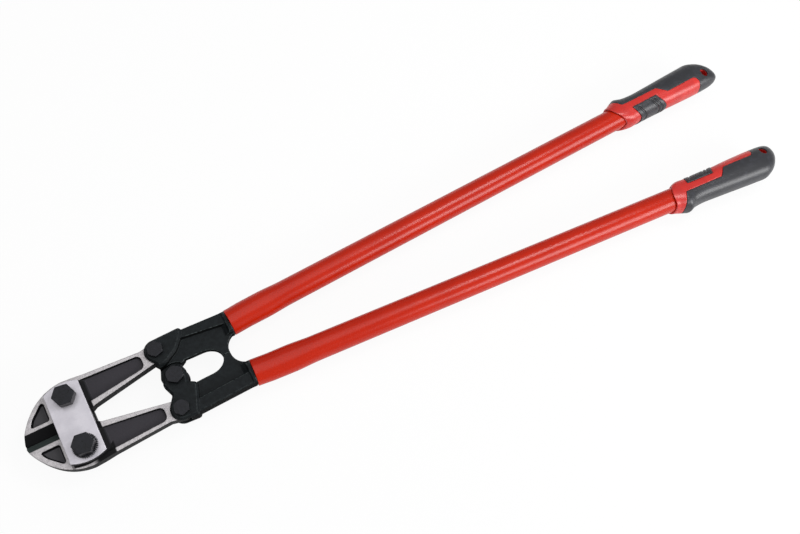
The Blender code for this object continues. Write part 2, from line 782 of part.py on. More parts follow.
def build_knuckle(centre_hole, tail):
    """One forged knuckle: forked ear, half-lap lug, web, ridge, stop and shank."""
    web = prism("web", shift(web_outline()), -WEB_HALF, WEB_HALF)
    join(web, stack("back pad", pad_layers(shift(back_pad_outline()), -1)))
    join(web, stack("front pad", pad_layers(shift(front_pad_outline(tail)), 1)))
    join(web, stack("ridge", ridge_layers()))
    join(web, stack("ferrule", ferrule_layers()))
    cut(web, prism("slot", shift(fork_slot()), -FORK_HALF, FORK_HALF))
    cut(web, prism("lap", shift(lap_cut()), -LAP_GAP, 2 * PAD_HALF))
    drill(web, *HANDLE_PIVOT, HANDLE_BOLT_RADIUS + GAP, -2 * PAD_HALF, 2 * PAD_HALF)
    drill(web, CENTRE_BOLT_X, 0.0, centre_hole, -2 * PAD_HALF, 2 * PAD_HALF, 32)
    reach = 2 * PAD_HALF
    square = [(-GAP, -reach), (reach, -reach), (reach, reach), (-GAP, reach)]
    rings = [[handle_point(along, across, height) for along, across in square]
             for height in (-reach, reach)]
    cut(web, loft("tube seat", rings))
    join(web, build_shank())
    return web


def build_shank():
    """Tongue of the knuckle that carries the tube."""
    half_width = SHANK_WIDTH / 2
    half_thick = SHANK_THICKNESS / 2
    section = rounded([
        (-half_width, -half_thick, SHANK_CORNER),
        (half_width, -half_thick, SHANK_CORNER),
        (half_width, half_thick, SHANK_CORNER),
        (-half_width, half_thick, SHANK_CORNER),
    ], 30.0)
    ends = (-SHANK_CORNER, SHANK_LENGTH)
    rings = [[handle_point(along, across, height) for across, height in section] for along in ends]
    return loft("shank", rings)


# ================================================================ handles
def handle_point(along, across, height):
    """Point of the upper handle: along it from the tube's front, across it, and up."""
    base_y = AXIS_Y_AT_TIP + TUBE_FRONT_X * TAN_HANDLE
    x = TUBE_FRONT_X + along * COS_HANDLE - across * SIN_HANDLE
    y = base_y + along * SIN_HANDLE + across * COS_HANDLE
    return (x, y, height)


def grip_point(along, across, height):
    """Point of the upper grip, from its seam. The grip is turned a little on the tube."""
    turn = math.radians(GRIP_TWIST)
    turned_across = across * math.cos(turn) - height * math.sin(turn)
    turned_height = across * math.sin(turn) + height * math.cos(turn)
    return handle_point(SEAM_AT + along, turned_across, turned_height)


def tube_ring(along, half_width, half_thick, centre):
    """One ring of the tube."""
    ring = []
    for index in range(TUBE_SIDES):
        angle = 2 * math.pi * index / TUBE_SIDES
        across = centre + half_width * math.cos(angle)
        ring.append(handle_point(along, across, half_thick * math.sin(angle)))
    return ring


def build_tube():
    """Steel tube, pressed a little flat where it takes the knuckle's shank."""
    middle = FORMED_PEAK_AT / 2
    formed_thick = FORMED_THICKNESS / 2
    stations = [
        (0.0, FORMED_WIDTH_FRONT / 2, formed_thick, -FORMED_OFFSET),
        (middle, (FORMED_WIDTH_FRONT + FORMED_WIDTH_PEAK) / 4, formed_thick, 0.0),
        (FORMED_PEAK_AT, FORMED_WIDTH_PEAK / 2, formed_thick, 0.0),
        (FORMED_END_AT, TUBE_RADIUS, TUBE_RADIUS, 0.0),
        (TUBE_LENGTH, TUBE_RADIUS, TUBE_RADIUS, 0.0),
    ]
    outside = [tube_ring(*station) for station in stations]
    inside = [tube_ring(along, width - TUBE_WALL, thick - TUBE_WALL, centre)
              for along, width, thick, centre in reversed(stations)]
    return loft("tube", outside + inside, looped=True)


def grip_stations():
    """Stations of the grip: distance from the seam, palm side, finger side, half thickness."""
    front = [(along, TUBE_RADIUS + palm, TUBE_RADIUS + finger, TUBE_RADIUS + face)
             for along, palm, finger, face in GRIP_FRONT]
    full = [TUBE_RADIUS + out for out in GRIP_FULL]
    rear = [(GRIP_LENGTH - from_end, *(share * half for share, half in zip(shares, full)))
            for from_end, shares in zip(GRIP_REAR_FROM_END, GRIP_REAR_SHARES)]
    return front + rear


def grip_ring(station, raise_by=0.0):
    """One ring of the grip, sheared near the seam so that the seam is slanted."""
    along, palm, finger, thick = station
    centre = (palm - finger) / 2
    half = (palm + finger) / 2 + raise_by
    thick = thick + raise_by
    fade = max(0.0, 1.0 - along / SEAM_FADE)
    bend = SEAM_CURVE / TUBE_RADIUS ** 2
    power = 2 / GRIP_SQUARENESS
    ring = []
    for index in range(GRIP_SIDES):
        angle = 2 * math.pi * index / GRIP_SIDES
        cosine, sine = math.cos(angle), math.sin(angle)
        across = centre + half * math.copysign(abs(cosine) ** power, cosine)
        height = thick * math.copysign(abs(sine) ** power, sine)
        shear = (bend * across - SEAM_SLOPE) * across * fade
        ring.append(grip_point(along + shear, across, height))
    return ring


def grip_body(raise_by=0.0):
    """The whole outer shape of a grip, as one solid."""
    return loft("grip", [grip_ring(station, raise_by) for station in grip_stations()])


def station_at(along):
    """Station of the grip at any distance from the seam, between the two nearest ones."""
    stations = grip_stations()
    for before, after in zip(stations, stations[1:]):
        if before[0] <= along <= after[0]:
            share = (along - before[0]) / (after[0] - before[0])
            return tuple(low + (high - low) * share for low, high in zip(before, after))
    return stations[-1]


def core_tail(grow):
    """The core's solid rear part, which the overmould wraps, grown all round."""
    start = CORE_TAIL_START - grow
    end = GRIP_LENGTH - CORE_TAIL_INSET + grow
    inside = [station for station in grip_stations() if start < station[0] < end]
    stations = (station_at(start), *inside, station_at(end))
    return loft("tail", [grip_ring(station, grow - SKIN) for station in stations])


def grip_prism(outline):
    """Straight cutter through the grip's faces, drawn as (distance from seam, across) points."""
    reach = 2 * TUBE_RADIUS
    return loft("cutter", [[grip_point(along, across, height) for along, across in outline]
                           for height in (-reach, reach)])


def grip_side_prism(outline):
    """Straight cutter through the finger side, drawn as (distance from seam, height) points."""
    return loft("cutter", [[grip_point(along, across, height) for along, height in outline]
                           for across in (-3 * TUBE_RADIUS, 0.0)])


def grip_bore():
    """Cutter for the tube's seat in the grip."""
    radius = TUBE_RADIUS + GAP
    return loft("seat", [tube_ring(SEAM_AT - 2 * TUBE_RADIUS, radius, radius, 0.0),
                         tube_ring(TUBE_LENGTH + GAP, radius, radius, 0.0)])


def bowed(along):
    """Line across the finger side that bows to the rear, as (distance from seam, height) points."""
    rearward = (along - INSERT_START) / (INSERT_END - INSERT_START)
    bow = INSERT_BOW_FRONT + (INSERT_BOW_REAR - INSERT_BOW_FRONT) * rearward
    points = []
    for step in range(-6, 7):
        share = step / 5
        points.append((along + bow * (1 - share * share), share * INSERT_BOW_HALF))
    return points


def finger_band(start, end, edge):
    """Cutter for a band under the fingers between two bowed lines, up to an edge across."""
    band = grip_side_prism([*bowed(end), *reversed(bowed(start))])
    low = start - 2 * INSERT_BOW_REAR
    high = end + 2 * INSERT_BOW_REAR
    reach = -3 * TUBE_RADIUS
    combine(band, grip_prism([(low, reach), (high, reach), (high, edge), (low, edge)]), "INTERSECT")
    return band


def hang_hole_outline():
    """Oval of the hang hole near the grip's end."""
    outline = []
    for index in range(20):
        angle = 2 * math.pi * index / 20
        along = HANG_HOLE_AT + (HANG_HOLE_LENGTH / 2) * math.cos(angle)
        across = HANG_HOLE_OFFSET + (HANG_HOLE_WIDTH / 2) * math.sin(angle)
        outline.append((along, across))
    return outline


def build_palm():
    """Black overmould: palm side and end cap of the grip."""
    palm = grip_body()
    combine(palm, grip_prism(PALM_EDGE), "INTERSECT")
    cut(palm, grip_bore())
    cut(palm, core_tail(GAP))
    cut(palm, grip_prism(hang_hole_outline()))
    return palm


def build_core():
    """Red core of the grip: collar, finger side and the tail inside the overmould."""
    core = grip_body()
    cut(core, grip_prism(offset(PALM_EDGE, GAP)))
    join(core, core_tail(0.0))
    cut(core, grip_bore())
    cut(core, grip_prism(hang_hole_outline()))
    rim = grip_body(BEYOND)
    combine(rim, finger_band(INSERT_START - GAP, INSERT_END + GAP, INSERT_EDGE + GAP), "INTERSECT")
    cut(rim, grip_body(-INSERT_DEPTH))
    cut(core, rim)
    return core


def build_insert():
    """Ribbed rubber insert under the fingers."""
    insert = grip_body(INSERT_RAISE)
    combine(insert, finger_band(INSERT_START, INSERT_END, INSERT_EDGE), "INTERSECT")
    cut(insert, grip_body(-INSERT_DEPTH + GAP))
    for station in GROOVE_STATIONS:
        start = INSERT_START + station
        groove = grip_body(BEYOND)
        band = finger_band(start, start + GROOVE_WIDTH, INSERT_EDGE - GROOVE_MARGIN)
        combine(groove, band, "INTERSECT")
        cut(groove, grip_body(INSERT_RAISE - GROOVE_DEPTH))
        cut(insert, groove)
    return insert


# ================================================================ assembly
def main():
    """Clear the scene and build every piece."""
    for item in list(bpy.data.objects):
        bpy.data.objects.remove(item)

    steel = material("plate steel", (0.62, 0.62, 0.63), 0.34, 0.9)
    jaw_steel = material("jaw steel", (0.34, 0.34, 0.35), 0.42, 0.8)
    black_steel = material("blackened steel", (0.045, 0.045, 0.05), 0.45, 0.5)
    forged = material("black forging", (0.035, 0.037, 0.04), 0.55, 0.3)
    paint = material("red paint", (0.78, 0.08, 0.02), 0.35, 0.0)
    red = material("red plastic", (0.72, 0.03, 0.03), 0.45, 0.0)
    rubber = material("black rubber", (0.03, 0.03, 0.034), 0.65, 0.0)

    jaw_pivot = (JAW_BOLT_X, JAW_BOLT_Y)
    plate_centre = (JAW_BOLT_X, 0.0)
    finish(build_plate(1), "side_plate_front", steel, plate_centre)
    finish(build_plate(-1), "side_plate_back", steel, plate_centre)

    for side, name in ((1, "upper"), (-1, "lower")):
        pivot = (jaw_pivot[0], side * jaw_pivot[1])
        hinge = (HANDLE_BOLT_X, side * HANDLE_BOLT_Y)
        jaw = build_jaw()
        hole = CENTRE_BOLT_RADIUS + GAP
        tail = SHORT_TAIL
        if side > 0:
            hole += CENTRE_PLAY
            tail = LONG_TAIL
        handle = {
            f"knuckle_{name}": (build_knuckle(hole, tail), forged),
            f"tube_{name}": (build_tube(), paint),
            f"grip_core_{name}": (build_core(), red),
            f"grip_palm_{name}": (build_palm(), rubber),
            f"grip_insert_{name}": (build_insert(), rubber),
        }
        if side < 0:
            half_turn(jaw)
            for item, _ in handle.values():
                half_turn(item)
        finish(jaw, f"jaw_{name}", jaw_steel, pivot, 25.0)
        for label, (item, colour) in handle.items():
            finish(item, label, colour, hinge, 30.0)
        build_jaw_fasteners(name, pivot, black_steel)
        build_handle_fasteners(name, hinge, black_steel)
    build_centre_fasteners(black_steel)


def build_jaw_fasteners(name, pivot, black_steel):
    """Bolt, washer and nut of one jaw."""
    x, y = pivot
    washer_bottom = PLATE_OUTER + GAP
    nut_top = -PLATE_OUTER - GAP
    if name == "upper":
        washer_top = washer_bottom + JAW_WASHER_THICKNESS
        washer = build_washer(x, y, JAW_BOLT_RADIUS + GAP, JAW_WASHER_RADIUS,
                              washer_bottom, washer_top)
    else:
        washer_top = washer_bottom + SERRATED_THICKNESS
        washer = build_serrated_washer(x, y, washer_bottom, washer_top)
    finish(washer, f"jaw_washer_{name}", black_steel, pivot)
    bolt = build_bolt(x, y, JAW_BOLT_RADIUS, JAW_BOLT_FLATS, JAW_HEAD_TURN,
                      washer_top + GAP, JAW_HEAD_HEIGHT, -MIDDLE_Z)
    finish(bolt, f"jaw_bolt_{name}", black_steel, pivot)
    nut = build_nut(x, y, JAW_BOLT_RADIUS, JAW_BOLT_FLATS, NUT_TURN, nut_top - JAW_NUT_HEIGHT, nut_top)
    finish(nut, f"jaw_nut_{name}", black_steel, pivot)


def build_handle_fasteners(name, hinge, black_steel):
    """Bolt, washer and nut that join one jaw to one knuckle."""
    x, y = hinge
    washer_top = -PAD_HALF - GAP
    washer_bottom = washer_top - HANDLE_WASHER_THICKNESS
    nut_top = washer_bottom - GAP
    nut_bottom = nut_top - HANDLE_NUT_HEIGHT
    bolt = build_bolt(x, y, HANDLE_BOLT_RADIUS, HANDLE_BOLT_FLATS, HANDLE_HEAD_TURN,
                      PAD_HALF + GAP, HANDLE_HEAD_HEIGHT, nut_bottom - THREAD_END / 2)
    finish(bolt, f"handle_bolt_{name}", black_steel, hinge)
    washer = build_washer(x, y, HANDLE_BOLT_RADIUS + GAP, HANDLE_WASHER_RADIUS,
                          washer_bottom, washer_top)
    finish(washer, f"handle_washer_{name}", black_steel, hinge)
    nut = build_nut(x, y, HANDLE_BOLT_RADIUS, HANDLE_BOLT_FLATS, NUT_TURN, nut_bottom, nut_top)
    finish(nut, f"handle_nut_{name}", black_steel, hinge)


def build_centre_fasteners(black_steel):
    """Bolt, washer and nut of the lap joint between the two knuckles."""
    x, y = CENTRE_BOLT_X, 0.0
    hinge = (HANDLE_BOLT_X, -HANDLE_BOLT_Y)
    washer_top = -PAD_HALF - GAP
    washer_bottom = washer_top - CENTRE_WASHER_THICKNESS
    nut_top = washer_bottom - GAP
    nut_bottom = nut_top - CENTRE_NUT_HEIGHT
    bolt = build_bolt(x, y, CENTRE_BOLT_RADIUS, CENTRE_BOLT_FLATS, CENTRE_HEAD_TURN,
                      PAD_HALF + GAP, CENTRE_HEAD_HEIGHT, nut_bottom - THREAD_END / 2)
    finish(bolt, "centre_bolt", black_steel, hinge)
    washer = build_washer(x, y, CENTRE_BOLT_RADIUS + GAP, CENTRE_WASHER_RADIUS,
                          washer_bottom, washer_top)
    finish(washer, "centre_washer", black_steel, hinge)
    nut = build_nut(x, y, CENTRE_BOLT_RADIUS, CENTRE_BOLT_FLATS, NUT_TURN, nut_bottom, nut_top)
    finish(nut, "centre_nut", black_steel, hinge)


main()
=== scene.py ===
"""Finish and fine shape of long-handled bolt cutters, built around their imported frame.

Every piece is modelled in the tool's own stations: X runs from the tip of the jaws, Y across
the tool and Z up from the plane that halves it. The lower half is the upper one turned half a
turn about X. A piece goes to the frame with one move, so its vertices hold row-frame places.
"""

import json
import logging
import math
from dataclasses import dataclass
from enum import Enum
from typing import Iterable, Optional, Sequence, Union

import bmesh
import bpy
from mathutils import Matrix, Vector

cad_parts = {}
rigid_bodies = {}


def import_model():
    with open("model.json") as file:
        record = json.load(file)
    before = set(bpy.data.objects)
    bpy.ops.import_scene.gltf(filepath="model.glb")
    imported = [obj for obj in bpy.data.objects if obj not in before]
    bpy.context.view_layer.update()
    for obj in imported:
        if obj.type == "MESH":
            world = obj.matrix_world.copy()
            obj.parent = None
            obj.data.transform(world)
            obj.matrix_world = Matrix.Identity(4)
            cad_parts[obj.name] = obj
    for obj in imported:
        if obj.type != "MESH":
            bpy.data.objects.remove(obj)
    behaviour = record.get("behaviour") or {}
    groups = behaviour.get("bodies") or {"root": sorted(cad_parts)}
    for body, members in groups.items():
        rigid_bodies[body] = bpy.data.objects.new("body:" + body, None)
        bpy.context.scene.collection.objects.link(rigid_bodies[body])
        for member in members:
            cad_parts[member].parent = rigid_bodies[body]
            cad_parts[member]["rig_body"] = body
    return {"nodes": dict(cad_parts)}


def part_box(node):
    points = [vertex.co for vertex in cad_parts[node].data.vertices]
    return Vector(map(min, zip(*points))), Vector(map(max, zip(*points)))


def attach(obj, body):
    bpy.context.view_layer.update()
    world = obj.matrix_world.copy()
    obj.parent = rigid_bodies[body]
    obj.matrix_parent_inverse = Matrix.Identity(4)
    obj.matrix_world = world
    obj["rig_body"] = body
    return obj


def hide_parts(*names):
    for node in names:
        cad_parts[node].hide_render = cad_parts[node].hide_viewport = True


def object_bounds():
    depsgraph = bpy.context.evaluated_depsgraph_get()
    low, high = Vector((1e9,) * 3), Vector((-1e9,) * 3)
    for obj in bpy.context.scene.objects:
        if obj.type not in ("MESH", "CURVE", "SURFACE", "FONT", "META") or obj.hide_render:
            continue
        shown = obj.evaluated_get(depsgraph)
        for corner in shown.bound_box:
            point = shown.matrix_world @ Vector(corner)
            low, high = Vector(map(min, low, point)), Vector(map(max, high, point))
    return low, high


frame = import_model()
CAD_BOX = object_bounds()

LOG = logging.getLogger("bolt_cutters")

Flat = tuple[float, float]
Point = tuple[float, float, float]
# A place in an outline, and the radius that its corner is rounded to.
Corner = tuple[float, float, float]
Colour = tuple[float, float, float, float]

MM = 0.001
# Room between two solids that fit one another.
GAP = 0.3 * MM
# How far a cutter reaches past the faces that it cuts.
BEYOND = 4 * MM
# Points closer than this are one point.
MERGE = 0.02 * MM
# Largest angle between two points of an arc, in degrees: of a corner, and of a long edge.
ARC_STEP = 3.0
EDGE_STEP = 1.5
# Faces that turn less than this from one another are one flat face, in degrees.
FLAT_ANGLE = 1.0
# Rows of faces in a broken edge, and how much large faces rule the shading beside them.
EDGE_ROWS = 3
FACE_WEIGHT = 100
# How far one pass relaxes a mesh, from 0 to 1.
RELAX = 0.5


def mm(*lengths: Union[float, tuple]) -> tuple:
    """Lengths in metres, from millimetres, with tuples kept as they are nested."""
    return tuple(mm(*length) if isinstance(length, tuple) else length * MM for length in lengths)


class Half(Enum):
    """The two equal halves of the tool."""

    UPPER = "upper"
    LOWER = "lower"

    @property
    def side(self) -> int:
        """1 on the upper half and -1 on the lower."""
        return 1 if self is Half.UPPER else -1


class Slot(Enum):
    """Material slots of the record, one for each finish."""

    PLATE = "plate_steel"
    JAW = "jaw_steel"
    BLACK = "black_steel"
    FORGING = "black_forging"
    PAINT = "red_paint"
    PLASTIC = "red_plastic"
    RUBBER = "black_rubber"


class Rim(Enum):
    """How a washer's rim is made."""

    PLAIN = "plain"
    TOOTHED = "toothed"


def middle(node: str) -> Vector:
    """Centre of a CAD node's box."""
    low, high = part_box(node)
    return (low + high) / 2


def extent(node: str) -> Vector:
    """Size of a CAD node's box."""
    low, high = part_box(node)
    return high - low


@dataclass(frozen=True)
class Datum:
    """Where the tool lies in the frame, and the stations that the frame gives."""

    tip_x: float
    middle_z: float
    length: float
    jaw_bolt: Flat
    handle_bolt: Flat
    centre_bolt_x: float
    jaw_half: float
    plate_inner: float
    plate_outer: float

    @classmethod
    def read(cls) -> "Datum":
        """Read the datum off the boxes of the CAD nodes.

        Returns:
            The datum.
        """
        low, high = CAD_BOX
        jaw = middle("jaw_upper")
        jaw_bolt = middle("jaw_washer_upper")
        handle_bolt = middle("handle_washer_upper")
        plate_low, plate_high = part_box("side_plate_front")
        return cls(
            tip_x=low.x,
            middle_z=jaw.z,
            length=high.x - low.x,
            jaw_bolt=(jaw_bolt.x - low.x, jaw_bolt.y),
            handle_bolt=(handle_bolt.x - low.x, handle_bolt.y),
            centre_bolt_x=middle("centre_washer").x - low.x,
            jaw_half=extent("jaw_upper").z / 2,
            plate_inner=plate_low.z - jaw.z,
            plate_outer=plate_high.z - jaw.z,
        )


# ================================================================ outlines
def directions(count: int) -> list[Flat]:
    """Cosine and sine of angles spread evenly round a full turn."""
    turns = [2 * math.pi * index / count for index in range(count)]
    return [(math.cos(turn), math.sin(turn)) for turn in turns]


def arc(x: float, y: float, radius: float, start: float, end: float,
        step: float = ARC_STEP) -> list[Flat]:
    """Points on an arc.

    Args:
        x: Station of the arc's centre.
        y: Place of the centre across the tool.
        radius: Radius of the arc.
        start: First angle in degrees.
        end: Last angle in degrees.
        step: Largest angle between two points.

    Returns:
        The points, both ends included.
    """
    count = max(2, math.ceil(abs(end - start) / step) + 1)
    turns = [math.radians(start + (end - start) * i / (count - 1)) for i in range(count)]
    return [(x + radius * math.cos(turn), y + radius * math.sin(turn)) for turn in turns]


def arc_through(first: Flat, second: Flat, third: Flat) -> list[Flat]:
    """Points on the arc through three points.

    Args:
        first: Where the arc starts.
        second: Any place on the way.
        third: Where the arc ends.

    Returns:
        The points, both ends included.
    """
    (ax, ay), (bx, by), (cx, cy) = first, second, third
    scale = 2 * (ax * (by - cy) + bx * (cy - ay) + cx * (ay - by))
    a2, b2, c2 = ax * ax + ay * ay, bx * bx + by * by, cx * cx + cy * cy
    ux = (a2 * (by - cy) + b2 * (cy - ay) + c2 * (ay - by)) / scale
    uy = (a2 * (cx - bx) + b2 * (ax - cx) + c2 * (bx - ax)) / scale
    start, end = (math.degrees(math.atan2(y - uy, x - ux)) for x, y in (first, third))
    sweep = (end - start) % (360.0 if scale > 0 else -360.0)
    return arc(ux, uy, math.hypot(ax - ux, ay - uy), start, start + sweep, EDGE_STEP)


def rounded(corners: Sequence[Corner], step: float = ARC_STEP) -> list[Flat]:
    """Closed outline through corners that are each rounded.

    Args:
        corners: Corners as (x, y, radius), where a radius of 0 keeps the corner sharp.
        step: Largest angle between two points of a corner's arc.

    Returns:
        The outline's points in the corners' order.
    """
    points: list[Flat] = []
    for index, (x, y, radius) in enumerate(corners):
        if radius <= 0:
            points.append((x, y))
            continue
        here = Vector((x, y))
        before = (Vector(corners[index - 1][:2]) - here).normalized()
        after = (Vector(corners[(index + 1) % len(corners)][:2]) - here).normalized()
        half = before.angle(after) / 2
        reach = radius / math.tan(half)
        centre = here + (before + after).normalized() * (radius / math.sin(half))
        first, last = (here + way * reach - centre for way in (before, after))
        start, end = (math.degrees(math.atan2(way.y, way.x)) for way in (first, last))
        sweep = (end - start + 180) % 360 - 180
        points.extend(arc(centre.x, centre.y, radius, start, start + sweep, step))
    return points


def offset(outline: Sequence[Flat], distance: float) -> list[Flat]:
    """Outline moved outward.

    Args:
        outline: The outline, counter-clockwise.
        distance: How far each edge moves, less than 0 for inward.

    Returns:
        The moved outline, with a point for each one given.
    """
    moved: list[Flat] = []
    for index, corner in enumerate(outline):
        here = Vector(corner)
        before = (here - Vector(outline[index - 1])).normalized()
        after = (Vector(outline[(index + 1) % len(outline)]) - here).normalized()
        normal = Vector((after.y, -after.x))
        between = (Vector((before.y, -before.x)) + normal).normalized()
        moved.append(tuple(here + between * (distance / between.dot(normal))))
    return moved


def blend(first: Sequence[float], second: Sequence[float], share: float) -> tuple[float, ...]:
    """Numbers between those of two rows, at a share of the way from the first."""
    return tuple(low + (high - low) * share for low, high in zip(first, second))


# ================================================================ solids
def make_object(name: str, mesh: bpy.types.Mesh) -> bpy.types.Object:
    """Link a new object that holds a mesh.

    Args:
        name: The object's name.
        mesh: Its mesh.

    Returns:
        The new object.
    """
    item = bpy.data.objects.new(name, mesh)
    bpy.context.scene.collection.objects.link(item)
    return item


def loft(name: str, rings: Sequence[Sequence[Point]], looped: bool = False) -> bpy.types.Object:
    """Closed solid through rings that have the same number of points.

    Args:
        name: Name of the object.
        rings: Rings in order along the solid.
        looped: True joins the last ring to the first, and False caps both ends.

    Returns:
        The new object.
    """
    build = bmesh.new()
    rows = [[build.verts.new(point) for point in ring] for ring in rings]
    for lower, upper in zip(rows, rows[1:] + rows[:1] if looped else rows[1:]):
        for index, corner in enumerate(lower):
            after = (index + 1) % len(lower)
            build.faces.new((corner, lower[after], upper[after], upper[index]))
    if not looped:
        build.faces.new(list(reversed(rows[0])))
        build.faces.new(rows[-1])
    bmesh.ops.recalc_face_normals(build, faces=build.faces)
    mesh = bpy.data.meshes.new(name)
    build.to_mesh(mesh)
    build.free()
    return make_object(name, mesh)


def stack(name: str, layers: Sequence[tuple[Sequence[Flat], float]]) -> bpy.types.Object:
    """Solid through level outlines, each given with its height."""
    return loft(name, [[(x, y, z) for x, y in outline] for outline, z in layers])


def prism(name: str, outline: Sequence[Flat], bottom: float, top: float) -> bpy.types.Object:
    """Solid with straight sides between two heights."""
    return stack(name, [(outline, bottom), (outline, top)])


def turned(name: str, x: float, y: float, profile: Sequence[Flat],
           sides: int = 72) -> bpy.types.Object:
    """Solid of revolution about an upright axis.

    Args:
        name: Name of the object.
        x: Station of the axis.
        y: Place of the axis across the tool.
        profile: Pairs of radius and height, from one end to the other.
        sides: Number of sides.

    Returns:
        The new object.
    """
    return loft(name, [[(x + radius * cosine, y + radius * sine, z)
                        for cosine, sine in directions(sides)] for radius, z in profile])


def bake(item: bpy.types.Object) -> None:
    """Replace an object's mesh by what its modifiers make of it.

    Args:
        item: The object.
    """
    graph = bpy.context.evaluated_depsgraph_get()
    mesh = bpy.data.meshes.new_from_object(item.evaluated_get(graph))
    item.modifiers.clear()
    item.data = mesh


def combine(target: bpy.types.Object, tool: bpy.types.Object, operation: str) -> None:
    """Apply an exact boolean to the target and remove the tool.

    Args:
        target: The object that is changed.
        tool: The object that changes it.
        operation: Name of the boolean.
    """
    change = target.modifiers.new("Combine", "BOOLEAN")
    change.operation = operation
    change.solver = "EXACT"
    change.object = tool
    bpy.context.view_layer.update()
    bake(target)
    bpy.data.objects.remove(tool)


def cut(target: bpy.types.Object, tool: bpy.types.Object) -> None:
    """Take the tool's volume out of the target."""
    combine(target, tool, "DIFFERENCE")


def join(target: bpy.types.Object, tool: bpy.types.Object) -> None:
    """Add the tool's volume to the target."""
    combine(target, tool, "UNION")


def keep(target: bpy.types.Object, tool: bpy.types.Object) -> None:
    """Keep only what the target shares with the tool."""
    combine(target, tool, "INTERSECT")


def drill(target: bpy.types.Object, centre: Flat, radius: float, bottom: float,
          top: float) -> None:
    """Make a round hole along Z, between two heights."""
    cut(target, turned("drill", *centre, [(radius, bottom), (radius, top)]))


def soften(item: bpy.types.Object, voxel: float, passes: int = 3) -> None:
    """Give a solid an even mesh with rounded edges, as forging or moulding leaves them.

    Args:
        item: The solid.
        voxel: Size of the new mesh's cells.
        passes: Number of times that the new mesh is relaxed.
    """
    even = item.modifiers.new("Even", "REMESH")
    even.mode = "VOXEL"
    even.voxel_size = voxel
    relax = item.modifiers.new("Relax", "SMOOTH")
    relax.factor = RELAX
    relax.iterations = passes
    bake(item)
    item.data.shade_smooth()


def trim(item: bpy.types.Object, width: float, angle: float = 25.0) -> None:
    """Break a machined solid's sharp edges with a narrow rounded bevel.

    Args:
        item: The solid.
        width: Width of the bevel.
        angle: Edges sharper than this are broken, in degrees.
    """
    build = bmesh.new()
    build.from_mesh(item.data)
    bmesh.ops.remove_doubles(build, verts=build.verts, dist=MERGE)
    bmesh.ops.dissolve_limit(build, angle_limit=math.radians(FLAT_ANGLE), verts=build.verts,
                             edges=build.edges)
    build.to_mesh(item.data)
    build.free()
    bevel = item.modifiers.new("Edges", "BEVEL")
    bevel.limit_method = "ANGLE"
    bevel.angle_limit = math.radians(angle)
    bevel.width = width
    bevel.segments = EDGE_ROWS
    item.data.shade_smooth()
    item.modifiers.new("Flat faces", "WEIGHTED_NORMAL").weight = FACE_WEIGHT
    bake(item)


# ================================================================ material maths
class Signal:
    """An output socket of a node tree that can be used in arithmetic on values."""

    def __init__(self, graph: "Graph", socket: bpy.types.NodeSocket) -> None:
        """Wrap a socket of a tree."""
        self.graph = graph
        self.socket = socket

    def _math(self, operation: str, first: "Feed", second: "Feed") -> "Signal":
        """Add one Math node."""
        return self.graph.add("ShaderNodeMath", {"operation": operation}, {0: first, 1: second})

    def __add__(self, other: "Feed") -> "Signal":
        """Sum of two values."""
        return self._math("ADD", self, other)

    def __radd__(self, other: "Feed") -> "Signal":
        """Sum of two values."""
        return self._math("ADD", other, self)

    def __sub__(self, other: "Feed") -> "Signal":
        """Difference of two values."""
        return self._math("SUBTRACT", self, other)

    def __rsub__(self, other: "Feed") -> "Signal":
        """Difference of two values."""
        return self._math("SUBTRACT", other, self)

    def __mul__(self, other: "Feed") -> "Signal":
        """Product of two values."""
        return self._math("MULTIPLY", self, other)

    def __rmul__(self, other: "Feed") -> "Signal":
        """Product of two values."""
        return self._math("MULTIPLY", other, self)

    def __abs__(self) -> "Signal":
        """Size of a value without its sign."""
        return self.graph.add("ShaderNodeMath", {"operation": "ABSOLUTE"}, {0: self})

    def larger(self, other: "Feed") -> "Signal":
        """The larger of two values."""
        return self._math("MAXIMUM", self, other)

    def rise(self, low: float, high: float) -> "Signal":
        """Smooth step from 0 at low to 1 at high; it falls where high is less than low."""
        return self.graph.add("ShaderNodeMapRange", {"interpolation_type": "SMOOTHSTEP"},
                              {"Value": self, "From Min": low, "From Max": high})

    def within(self, rise: Flat, fall: Flat) -> "Signal":
        """1 between a smooth rise and a smooth fall, each given by where it starts and ends."""
        return self.rise(*rise) * self.rise(*reversed(fall))


Feed = Union[Signal, float, tuple]


class Graph:
    """A node tree with one output, and the ways to add to it."""

    def __init__(self, tree: bpy.types.NodeTree, output: str) -> None:
        """Empty a tree and give it an output node.

        Args:
            tree: The tree.
            output: Type of the output node.
        """
        self.tree = tree
        self.tree.nodes.clear()
        self.surface = self.tree.nodes.new(output).inputs[0]

    def add(self, kind: str, settings: Optional[dict] = None, inputs: Optional[dict] = None,
            output: Union[int, str] = 0) -> Signal:
        """Add any node.

        Args:
            kind: The node's type.
            settings: Its properties, set first.
            inputs: Values or links by the sockets' names or numbers.
            output: Name or number of the output wanted.

        Returns:
            The output socket.
        """
        node = self.tree.nodes.new(kind)
        for name, value in (settings or {}).items():
            setattr(node, name, value)
        for name, value in (inputs or {}).items():
            self.feed(node.inputs[name], value)
        return Signal(self, node.outputs[output])

    def feed(self, socket: bpy.types.NodeSocket, value: Feed) -> None:
        """Give a socket a link or a constant.

        Args:
            socket: The input socket.
            value: The output to link to it, or its constant.
        """
        if isinstance(value, Signal):
            self.tree.links.new(value.socket, socket)
        else:
            socket.default_value = value


@dataclass(frozen=True)
class Cloud:
    """A cloudy pattern: its spots' size, how much finer it goes, and how strongly."""

    size: float
    detail: float = 2.0
    roughness: float = 0.5


